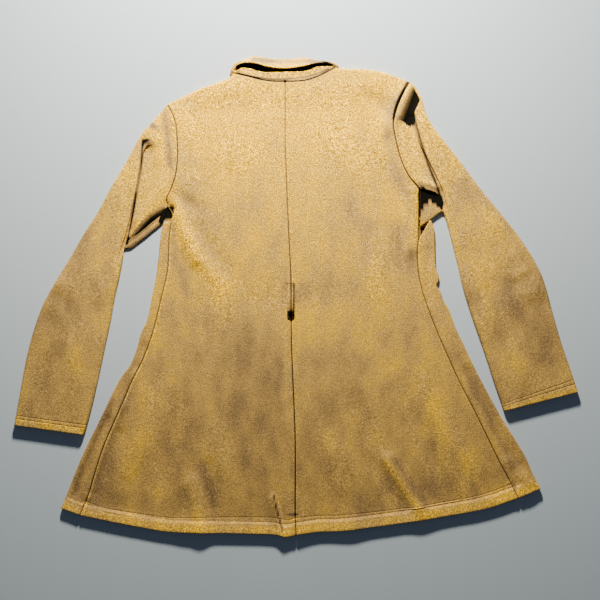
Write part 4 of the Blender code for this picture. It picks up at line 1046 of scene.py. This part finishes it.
def back_panel(side, finish):
    """Half of the back, from the centre seam to the side seam and the armhole."""
    nominal = np.linspace(0, 1, MEASURE_PLACES)
    widths = np.linalg.norm(side.side_edge(nominal) - side.centre.at(nominal), axis=-1)
    columns = edge_columns(widths.mean(), BACK_MIDDLE_COLUMNS)
    ends = side.hem.at(columns)
    lengths = np.linalg.norm(side.top_edge(columns) - ends, axis=-1)
    low, high = hem_bands(ends[:, 0])
    ups = np.stack([back_rows(*values) for values in zip(lengths, low, high)], axis=1)
    ratio = widths.mean() / np.interp(ups, nominal, widths)
    near = np.minimum(columns, 1 - columns)
    edge = EDGE_STEPS[-1] / widths.mean()
    close = np.minimum(near, edge) * ratio
    middle = np.clip((columns - edge) / (1 - 2 * edge), 0, 1)
    across = np.where(
        columns < edge,
        close,
        np.where(columns > 1 - edge, 1 - close, mix(edge * ratio, 1 - edge * ratio, middle)),
    )
    flip = side.sign < 0
    grid = turned_hem(back_surface(side, across, ups), WALL, flip)
    return cloth(f"back_{side.name}_suede", grid, finish, flip=flip)


def overlap_height(side, x):
    """The left front lies over the edge of the right front at the middle."""
    if side.sign > 0:
        return np.zeros_like(x)
    return OVERLAP_LIFT * (1 - ease((-OVERLAP_FLAT / 2 - x) / OVERLAP_RAMP))


def strip_shares(reach):
    """Shares of the way from the seam to the side fold, from the fold to the seam."""
    near = np.array(EDGE_STEPS) * min(1.0, STRIP_EDGE_SHARE * reach / EDGE_STEPS[-1]) / reach
    return np.concatenate([np.linspace(1, near[-1], STRIP_COLUMNS)[:-1], near[::-1]])


def front_panel(side, finish):
    """The front lies on the surface, turns up at the side fold and meets the back on top."""
    middle_x = -side.sign * FRONT_OVERLAP
    ramp_x = side.sign * (OVERLAP_FLAT / 2 + OVERLAP_RAMP)
    middle_hem = height_over(HEM, middle_x) + FRONT_HEM_RISE
    fold_hem = side.fold.points[0][1]
    length = side.seam.length * side.strip_top
    distances = np.concatenate([STRIP_STEPS, np.linspace(STRIP_START, length, STRIP_ROWS)])
    overlap = np.linspace(middle_x, ramp_x, OVERLAP_COLUMNS)
    grid = []
    for share in distances / length:
        fold = side.fold.at(share)
        seam = side.seam.at(share * side.strip_top)
        radius = float(coat_height(fold[0] - side.sign * FOLD_INSIDE, fold[1])) / 2
        centre = fold[0] - side.sign * radius
        low_y = mix(middle_hem, side.underarm[1], share)
        x = np.concatenate([overlap, np.linspace(ramp_x, centre, FRONT_UNDER_COLUMNS)[1:]])
        column = (x - middle_x) / (centre - middle_x)
        curve = height_over(HEM, x) + FRONT_HEM_RISE * (1 - column)
        curve -= mix(middle_hem, fold_hem, column)
        y = mix(low_y, fold[1], column) + curve * (1 - share) ** HEM_CURVE_FADE
        under = np.stack([x, y, overlap_height(side, x)], axis=-1)
        turn = np.radians(np.linspace(0, 180, FOLD_TURNS)[1:-1])
        turned = np.full((len(turn), 3), fold[1])
        turned[:, 0] = centre + side.sign * radius * np.sin(turn)
        turned[:, 2] = radius - radius * np.cos(turn)
        seam_x = seam[0] + side.sign * SEAM_GAP / 2
        reach = abs(centre - seam_x)
        over = strip_shares(reach)
        top_x = mix(seam_x, centre, over)
        top_y = mix(seam[1], fold[1], over)
        rim = mix(2 * radius, coat_height(top_x, top_y), ease((1 - over) * RIM_REACH))
        top = joined(np.stack([top_x, top_y], axis=-1), rim - seam_sink(over * reach))
        grid.append(np.concatenate([under, turned, top]))
    grid = turned_hem(np.array(grid), WALL, side.sign > 0)

    low = grid[-1][: OVERLAP_COLUMNS + FRONT_UNDER_COLUMNS - 1]
    fractions = np.linspace(0, 1, FRONT_UNDER_COLUMNS)[1:]
    beyond = mix(FRONT_START, 1.0, fractions)
    neck = side.front_neck.points[:: side.sign]
    middle_tops = np.stack([overlap, height_over(neck, overlap)], axis=-1)
    tops = np.concatenate([middle_tops, side.front_top_edge(beyond)])
    plain = np.zeros(OVERLAP_COLUMNS)
    rolls = np.concatenate([plain, side.shoulder_roll(beyond)])
    weights = np.concatenate([plain, fractions])
    span = np.linalg.norm(side.underarm - side.armhole.at(0))
    away = np.concatenate([np.linspace(span, EDGE_STEPS[-1], CHEST_ROWS)[1:], EDGE_STEPS[::-1][1:]])
    upper = []
    for distance in away:
        up = 1 - distance / span
        bend = side.armhole_bend(1 - up)
        place = mix(low[:, :2], tops, up) + bend * weights[:, None]
        x, y = place[:, 0], place[:, 1]
        rolled = rolls * round_drop(distance)
        z = mix(overlap_height(side, x), coat_height(x, y) / 2 - RELEASE, rolled)
        line = np.full(grid.shape[1:], np.nan)
        line[: len(place)] = joined(place, z)
        upper.append(line)
    grid = np.concatenate([grid, np.array(upper)])
    return cloth(f"front_{side.name}_suede", grid, finish, flip=side.sign > 0)


def fold_places(side, rows):
    """Where the tuck's fold crosses each sleeve section."""
    bulge, fold = rows[:, COLUMN["bulge"], None], rows[:, COLUMN["fold"]]
    return mix(rows[:, 0:2], rows[:, 2:4], fold[:, None]) + side.armhole_bend(fold) * bulge


def fold_stretches(side, rows):
    """How much longer a distance square to the fold is along each section."""
    along = unit(np.gradient(fold_places(side, rows), axis=0))
    section = unit(rows[:, 2:4] - rows[:, 0:2])
    slant = abs(along[:, 0] * section[:, 1] - along[:, 1] * section[:, 0])
    return 1 / np.maximum(slant, LEAST_SLANT)


def sleeve_section(side, row, match, stretch, sink, lift):
    """One loop of a sleeve: outer roll, upper layer, tuck, web, lip, then the lower layer back."""
    outer, inner, low = np.array(row[:6]).reshape(3, 2)
    span = np.linalg.norm(inner - outer)
    low_span = np.linalg.norm(low - outer)

    def top_points(share, under=0.0, pit=0.0):
        place = mix(outer, inner, share[..., None]) + side.armhole_bend(share) * row.bulge
        x, y = place[..., 0], place[..., 1]
        own = row.height + relief(x, y, side.sleeve_folds) + crease_relief(x, y, side.sleeve_creases)
        z = mix(own - hollow_depth(x, y), coat_height(x, y), match) - under
        z = z + pit * (1 - match) * relief(x, y, side.sleeve_pits)
        return joined(place, np.maximum(z, LOWEST_TOP) - sink)

    def low_points(share, z):
        place = mix(outer, low, share[..., None]) + side.armhole_bend(share) * row.bulge
        return joined(place, z)

    turns = np.linspace(0, math.pi / 2, ROLL_TURNS)
    from_outer = ROLL_WIDTH * (1 - np.cos(turns))
    edge_top = top_points(np.array([ROLL_WIDTH / span]))[0, 2]
    roll = top_points(from_outer / span)
    roll[:, 2] = edge_top / 2 * (1 + np.sin(turns))

    turn = SLEEVE_TURN / span
    web_limit = 1 - turn * row.plain
    across = min(stretch / span, (web_limit - row.fold) / (2 * TUCK_END_PAST))
    top_end = row.fold - row.tuck * TUCK_ROLL * across
    top = top_points(np.linspace(ROLL_WIDTH / span, top_end, SLEEVE_TOP_POINTS + 1)[1:-1])

    room = min(1.0, (web_limit - row.fold) * span / (TUCK_OPEN_PAST * TUCK_ROOM))
    curl = np.radians(np.linspace(0, TUCK_CURL, TUCK_TURNS))
    closed_past = np.concatenate([TUCK_ROLL * (np.sin(curl) - 1), (TUCK_FOOT_PAST, TUCK_END_PAST)])
    closed_under = np.concatenate([TUCK_ROLL * (1 - np.cos(curl)), (WEB_DEPTH - WEB_DIP, WEB_DEPTH)])
    open_past = np.linspace(0, TUCK_OPEN_PAST, len(closed_past)) * room / span
    past = row.fold + mix(open_past, closed_past * across, row.tuck)
    tuck = top_points(past, row.tuck * closed_under, pit=closed_under > 2 * TUCK_ROLL)

    web_end = mix(WEB_DEPTH + WEB_FALL, WEB_END_DEPTH, ease((1 - past[-1]) * span / LONG_WEB))
    onward = np.linspace(0, 1, SLEEVE_WEB_POINTS + 1)[1:]
    depth = row.tuck * mix(WEB_DEPTH, web_end, onward)
    web = top_points(mix(past[-1], web_limit, onward), depth, pit=1.0)

    drop = web[-1, 2] - side.lip_height
    edge = top_points(np.array([1 - turn]))[0, 2] / 2
    lip = [web[-1]]
    for number, step in enumerate(LIP, 1):
        share = min(step.distance / np.linalg.norm(low - inner), step.most)
        place = mix(inner, low, 1 - share if step.from_low else share)
        point = np.array((*place, mix(lift, side.lip_height, step.height) + drop * step.drop))
        angle = math.pi / 2 - number * math.pi / (len(LIP) + 1)
        place = top_points(np.array([1 - turn + turn * math.cos(angle)]))[0, :2]
        round_point = np.array((*place, edge * (1 + math.sin(angle))))
        lip.append(mix(point, round_point, row.plain))

    first = ROLL_WIDTH / low_span
    back = np.linspace(mix(first, 1.0, 1 - 1 / BOTTOM_POINTS), first, SLEEVE_LOW_POINTS)
    heights = lift * ease(np.linspace(1, 0, SLEEVE_LOW_POINTS) * 2)
    lower = low_points(back * mix(1.0, 1 - turn, row.plain), heights)
    lip = Path([*lip, lower[0]]).filled(LIP_PARTS)[1:-1]
    lower_roll = low_points(from_outer[:0:-1] / low_span, edge_top / 2 * (1 - np.sin(turns[:0:-1])))
    return np.concatenate([roll, top, tuck, web, lip, lower[:-1], lower_roll])


def sleeve_distances(length):
    """Distances from the cuff."""
    return spaced(CUFF_STEPS, (CUFF_LOW, CUFF_HIGH), length * SLEEVE_COARSE, SLEEVE_ROWS, length)


def sleeve_loops(side, measure):
    """The sleeve's sections at distances from the cuff that a rule gives for its length."""
    table = np.array(side.sleeve)
    match = np.zeros((len(table), 1))
    match[: len(SEAM_MATCH), 0] = SEAM_MATCH
    middles = (table[:, 0:2] + table[:, 2:4]) / 2
    path = Path(np.concatenate([table, match], axis=1), measured=middles)
    distances = measure(path.length)
    rows = path.at(1 - distances / path.length)
    shares = [COLUMN[name] for name in ("bulge", "tuck", "plain", "match")]
    rows[:, shares] = np.clip(rows[:, shares], 0, 1)
    loops = []
    for values, stretch, distance in zip(rows, fold_stretches(side, rows), distances):
        row = SleeveRow(*values[:-1])
        from_armhole = path.length - distance
        sink = grooves(distance, (CUFF_LOW, CUFF_HIGH)) + seam_sink(from_armhole)
        lift = side.low_lift * (1 - ease(from_armhole / LOW_LIFT_FADE))
        loop = sleeve_section(side, row, values[-1], stretch, sink, lift)
        loop[:, 0] += side.sign * SEAM_GAP * (1 - ease(from_armhole / SEAM_GAP_FADE))
        loops.append(loop)
    return np.array(loops)


def sleeve(side, finish):
    flip = side.sign > 0
    grid = turned_hem(sleeve_loops(side, sleeve_distances), WALL, flip, ring=True)
    return cloth(f"sleeve_{side.name}_suede", grid, finish, ring=True, flip=flip)


def cuff_stitches(side, finish):
    """Both topstitch rows on the upper layer of a cuff."""
    distances = np.array((CUFF_LOW - 1, CUFF_LOW, CUFF_HIGH, CUFF_HIGH + 1))
    loops = sleeve_loops(side, lambda length: distances)
    rows = [loop[2 : ROLL_TURNS + SLEEVE_TOP_POINTS] for loop in loops[1:3]]
    return threads(f"cuff_stitches_{side.name}", rows, finish)


def near_collar_bases():
    """Where the collar is sewn to the backs, from left to right."""
    left, right = Side("left"), Side("right")
    shares = np.array(NECK_COLUMNS)
    places = np.concatenate(
        [
            left.back_place(shares[::-1], np.ones(len(shares))),
            left.centre.at(1)[None],
            right.back_place(shares, np.ones(len(shares))),
        ]
    )
    places[-1, 1] += STEEP_END_GAP
    places[:, 1] += SEAM_GAP
    return places


def collar(finish):
    """A closed band: up from its outer edge, over the rim, and down into the neck opening."""
    rows = []
    rims = Path(NEAR_RIM)
    first, last = NEAR_RIM[0].x, NEAR_RIM[-1].x
    for place in near_collar_bases():
        rim = rims.at((place[0] - first) / (last - first))
        base = np.array((*place, float(coat_height(*place))))
        rim = np.array((*rim, min(NEAR_RIM_HEIGHT, base[2] + NEAR_SLOPE * (rim[1] - base[1]))))
        wall = np.array((0, NEAR_WALL, 0))
        foot = np.array((0, 0, NEAR_FOOT - NEAR_RIM_HEIGHT))
        feet = (rim + wall + foot / 2, rim + wall + foot)
        rows.append(collar_section(base, rim, np.array((0.0, 1.0)), *feet))
    for row in FAR_SIDE:
        base, rim, end = np.array(row).reshape(3, 3)
        inward = unit(rim[:2] - base[:2])
        foot = np.array((*(rim[:2] + inward * FAR_WALL), end[2] + FAR_FOOT_RISE))
        rows.append(collar_section(base, rim, inward, foot, end))
    across = np.array([Path(row).filled(COLLAR_PARTS) for row in rows])
    wrapped = np.concatenate([across[-2:], across, across[:3]])
    around = np.array([Path(column).filled(COLLAR_PARTS) for column in wrapped.swapaxes(0, 1)])
    grid = around.swapaxes(0, 1)[2 * COLLAR_PARTS : -2 * COLLAR_PARTS - 1]
    grid[..., 2] = np.maximum(grid[..., 2], COLLAR_CLOTH + FLOOR_CLEARANCE)
    return cloth("collar_suede", grid, finish, wall=COLLAR_CLOTH, around=True, flip=True)


def collar_section(base, rim, inward, foot, end):
    """One row of the collar, from its outer edge over the rim to the end of its inner wall."""
    back = min(RIM_ROUND, np.linalg.norm(rim[:2] - base[:2]) / 2)
    outside = np.array((*(rim[:2] - inward * back), rim[2] - RIM_ROUND / RIM_EASE))
    inside = np.array((*(rim[:2] + inward * RIM_ROUND * RIM_INSIDE), rim[2] - RIM_ROUND / 2))
    return [base, mix(base, outside, 0.5), outside, rim, inside, foot, end]


def belt_loop(finish):
    """A strip over the centre seam, close to the back at its ends and clear of it between."""
    y, rise = np.split(Path(LOOP_PROFILE).filled(LOOP_PARTS), 2, axis=1)
    across = np.linspace(-1, 1, LOOP_COLUMNS)
    x = LOOP_X + across * LOOP_WIDTH / 2
    z = BACK_HEIGHT + LOOP_CLEARANCE + LOOP_WALL + rise - LOOP_ROUND * across**LOOP_SQUARENESS
    grid = np.stack(np.broadcast_arrays(x, y, z), axis=-1)
    return cloth("belt_loop_suede", grid, finish, wall=LOOP_WALL, flip=True)


def threads(name, lines, finish):
    """Topstitches as short rounded threads, sunk at both ends, along lines on the cloth."""
    vertices, faces = [], []
    turns = np.linspace(0, 2 * math.pi, THREAD_SIDES, endpoint=False)
    for line in lines:
        steps = np.linalg.norm(np.diff(line, axis=0), axis=1)
        marks = np.concatenate([[0.0], np.cumsum(steps)])
        for first_mark in np.arange(0.0, marks[-1] - STITCH_LENGTH, STITCH_PITCH):
            start, end = (
                np.array([np.interp(mark, marks, line[:, axis]) for axis in range(3)])
                for mark in (first_mark, first_mark + STITCH_LENGTH)
            )
            ahead = unit(end - start)
            beside = unit(np.cross((0.0, 0.0, 1.0), ahead))
            above = np.cross(ahead, beside)
            first = len(vertices)
            for ring in THREAD_RINGS:
                centre = mix(start, end, ring.share) + above * (ring.lift * THREAD_RADIUS)
                for turn in turns:
                    spoke = beside * math.cos(turn) + above * math.sin(turn)
                    vertices.append(centre + spoke * (ring.radius * THREAD_RADIUS))
            last = len(vertices) - THREAD_SIDES
            for low in range(first, last, THREAD_SIDES):
                for index in range(THREAD_SIDES):
                    after = low + (index + 1) % THREAD_SIDES
                    corner = low + index
                    faces.append((corner, after, after + THREAD_SIDES, corner + THREAD_SIDES))
            faces.append(tuple(reversed(range(first, first + THREAD_SIDES))))
            faces.append(tuple(range(last, last + THREAD_SIDES)))
    return new_piece(name, np.array(vertices), faces, finish)


def hem_stitches(side, finish):
    """Both topstitch rows of one half of the back's hem."""
    across = np.linspace(HEM_STITCH_START, HEM_STITCH_END, HEM_STITCH_PLACES)
    hem = side.hem.at(across)
    length = np.linalg.norm(side.top_edge(across) - hem, axis=-1)
    rows = [back_surface(side, across, distance / length) for distance in hem_bands(hem[:, 0])]
    return threads(f"hem_stitches_{side.name}", rows, finish)


def fill(node, sockets):
    """Set or link a node's sockets."""
    for name, value in sockets.items():
        if isinstance(value, bpy.types.NodeSocket):
            node.id_data.links.new(value, node.inputs[name])
        else:
            node.inputs[name].default_value = value


def add_node(tree, kind, sockets, operation=None):
    """A new node with its sockets set or linked, and what it gives out."""
    node = tree.nodes.new("ShaderNode" + kind)
    if operation:
        node.operation = operation
    fill(node, sockets)
    return node.outputs


def noise(tree, place, grain):
    sockets = {"Vector": place, "Scale": grain.scale, "Detail": grain.detail}
    return add_node(tree, "TexNoise", {**sockets, "Roughness": NOISE_ROUGHNESS})["Fac"]


def maths(tree, operation, first, second):
    return add_node(tree, "Math", {0: first, 1: second}, operation)[0]


def ramp_of(tree, value, places, tones):
    """A colour between tones, by where a value is among their places."""
    ramp = tree.nodes.new("ShaderNodeValToRGB")
    stops = ramp.color_ramp.elements
    for place in places[1:-1]:
        stops.new(place)
    for stop, place, tone in zip(stops, places, tones):
        stop.position = place
        stop.color = (*tone, 1.0)
    fill(ramp, {"Fac": value})
    return ramp.outputs["Color"]


def noises(tree, total, place, grains):
    """A value with noises added to it, each by its weight."""
    for grain in grains:
        centred = maths(tree, "SUBTRACT", noise(tree, place, grain), 0.5)
        total = maths(tree, "ADD", total, maths(tree, "MULTIPLY", centred, grain.weight))
    return total


def new_finish(name):
    """A material, its nodes and its shader."""
    made = bpy.data.materials.new(name)
    made.use_nodes = True
    return made, made.node_tree, made.node_tree.nodes["Principled BSDF"]


def suede(name, tones, shift):
    """Brushed suede: clouds of pile, mottling and grain, from a dark tone to a light one; the cloth's own
    attribute moves the tone for its pile patches, painted shade and painted highlights, and its lowest
    values are painted shade that goes near black.
    """
    made, tree, shader = new_finish(name)
    place = add_node(tree, "TexCoord", {})["Object"]
    moved = {"Vector": place, "Location": shift}
    streaked = add_node(tree, "Mapping", {**moved, "Scale": STREAK_STRETCH})["Vector"]
    moved = add_node(tree, "Mapping", moved)["Vector"]

    nap_and_painted_light = tree.nodes.new("ShaderNodeAttribute")
    nap_and_painted_light.attribute_name = "nap_and_painted_light"
    nap_and_painted_light = nap_and_painted_light.outputs["Fac"]
    total = noises(tree, TONE_PLACES[1], moved, [CLOUDS])
    total = noises(tree, total, streaked, [STREAKS])
    nap_and_light_on_ramp = maths(tree, "MAXIMUM", nap_and_painted_light, PAINTED_SHADE_START)
    total = maths(tree, "ADD", total, maths(tree, "MULTIPLY", nap_and_light_on_ramp, NAP_AND_LIGHT_WEIGHT))

    bright = maths(tree, "MULTIPLY", maths(tree, "MAXIMUM", nap_and_painted_light, 0.0), BRIGHT_GRAIN)
    grain = noises(tree, 0.0, moved, (MOTTLE, GRAIN))
    grain = maths(tree, "MULTIPLY", grain, maths(tree, "ADD", bright, 1.0))
    grain = maths(tree, "POWER", 2.0, grain)
    # painted shade: attribute values under the ramp's start darken the colour towards black
    painted_shade_range = {"Value": nap_and_painted_light, "From Min": PAINTED_SHADE_DEEPEST, "From Max": PAINTED_SHADE_START, "To Min": DARKEST_PAINTED_SHADE}
    depth = add_node(tree, "MapRange", painted_shade_range)["Result"]
    colour = ramp_of(tree, total, TONE_PLACES, tones)
    light = maths(tree, "MULTIPLY", depth, grain)
    colour = add_node(tree, "VectorMath", {0: colour, "Scale": light}, "SCALE")["Vector"]

    bump = {}
    for grain, distance in ((GRAIN, GRAIN_BUMP), (MOTTLE, MOTTLE_BUMP)):
        bump.update({"Height": noise(tree, moved, grain), "Strength": 1.0, "Distance": distance})
        bump = {"Normal": add_node(tree, "Bump", bump)["Normal"]}
    look = {
        "Base Color": colour,
        "Roughness": MATT,
        "Specular IOR Level": SPECULAR,
        "Sheen Weight": SHEEN,
        "Sheen Roughness": SHEEN_ROUGHNESS,
        "Sheen Tint": SHEEN_TINT,
    }
    fill(shader, {**look, **bump})
    return made


def thread_finish():
    made, tree, shader = new_finish("tan_thread")
    place = add_node(tree, "TexCoord", {})["Object"]
    colour = ramp_of(tree, noise(tree, place, THREAD_GRAIN), (0.0, 1.0), THREAD_TONES)
    fill(shader, {"Base Color": colour, "Roughness": THREAD_ROUGHNESS})
    return made


def studio():
    """A plain pale floor, a low key light beyond the collar, a soft fill and the camera overhead."""
    floor_mesh = bpy.data.meshes.new("floor")
    half = FLOOR_SIZE / 2
    corners = [(-half, -half), (half, -half), (half, half), (-half, half)]
    floor_mesh.from_pydata([(x, y, FLOOR_Z) for x, y in corners], [], [(0, 1, 2, 3)])
    floor = added("floor", floor_mesh)
    pale, _, shader = new_finish("pale_floor")
    fill(shader, {"Base Color": (*FLOOR_TONE, 1.0), "Roughness": MATT})
    floor_mesh.materials.append(pale)

    key_data = bpy.data.lights.new("key", "AREA")
    key_data.shape = "DISK"
    key_data.size = KEY_SIZE
    key_data.energy = KEY_POWER
    key_data.color = KEY_COLOUR
    key = added("key", key_data)
    key.location = KEY_PLACE
    key.rotation_euler = (Vector(KEY_AIM) - Vector(KEY_PLACE)).to_track_quat("-Z", "Y").to_euler()

    world = bpy.data.worlds.new("studio")
    world.use_nodes = True
    fill(world.node_tree.nodes["Background"], {"Color": (*FILL_COLOUR, 1.0), "Strength": FILL_STRENGTH})
    bpy.context.scene.world = world

    camera_data = bpy.data.cameras.new("camera")
    camera_data.lens = CAMERA_LENS
    camera_data.sensor_width = CAMERA_SENSOR
    camera = added("camera", camera_data)
    camera.location = CAMERA_PLACE
    bpy.context.scene.camera = camera


def declare(piece, node):
    """The piece rides on the coat's body and stands for its node, whose solid is hidden."""
    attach(piece, "root")
    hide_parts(node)


def main():
    studio()
    thread = thread_finish()
    made = {}
    for name in ("left", "right"):
        side = Side(name)
        for kind, make in (("front", front_panel), ("back", back_panel), ("sleeve", sleeve)):
            node = f"{kind}_{name}"
            made[node] = make(side, suede(f"suede_{node}", TONES, CUTS[node].shift))
        for kind, make in (("back", hem_stitches), ("sleeve", cuff_stitches)):
            stitches = make(side, thread)
            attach(stitches, "root")
    made["collar"] = collar(suede("suede_collar", TONES, CUTS["collar"].shift))
    made["belt_loop"] = belt_loop(suede("suede_belt_loop", LOOP_TONES, CUTS["belt_loop"].shift))
    for node, piece in made.items():
        declare(piece, node)


main()
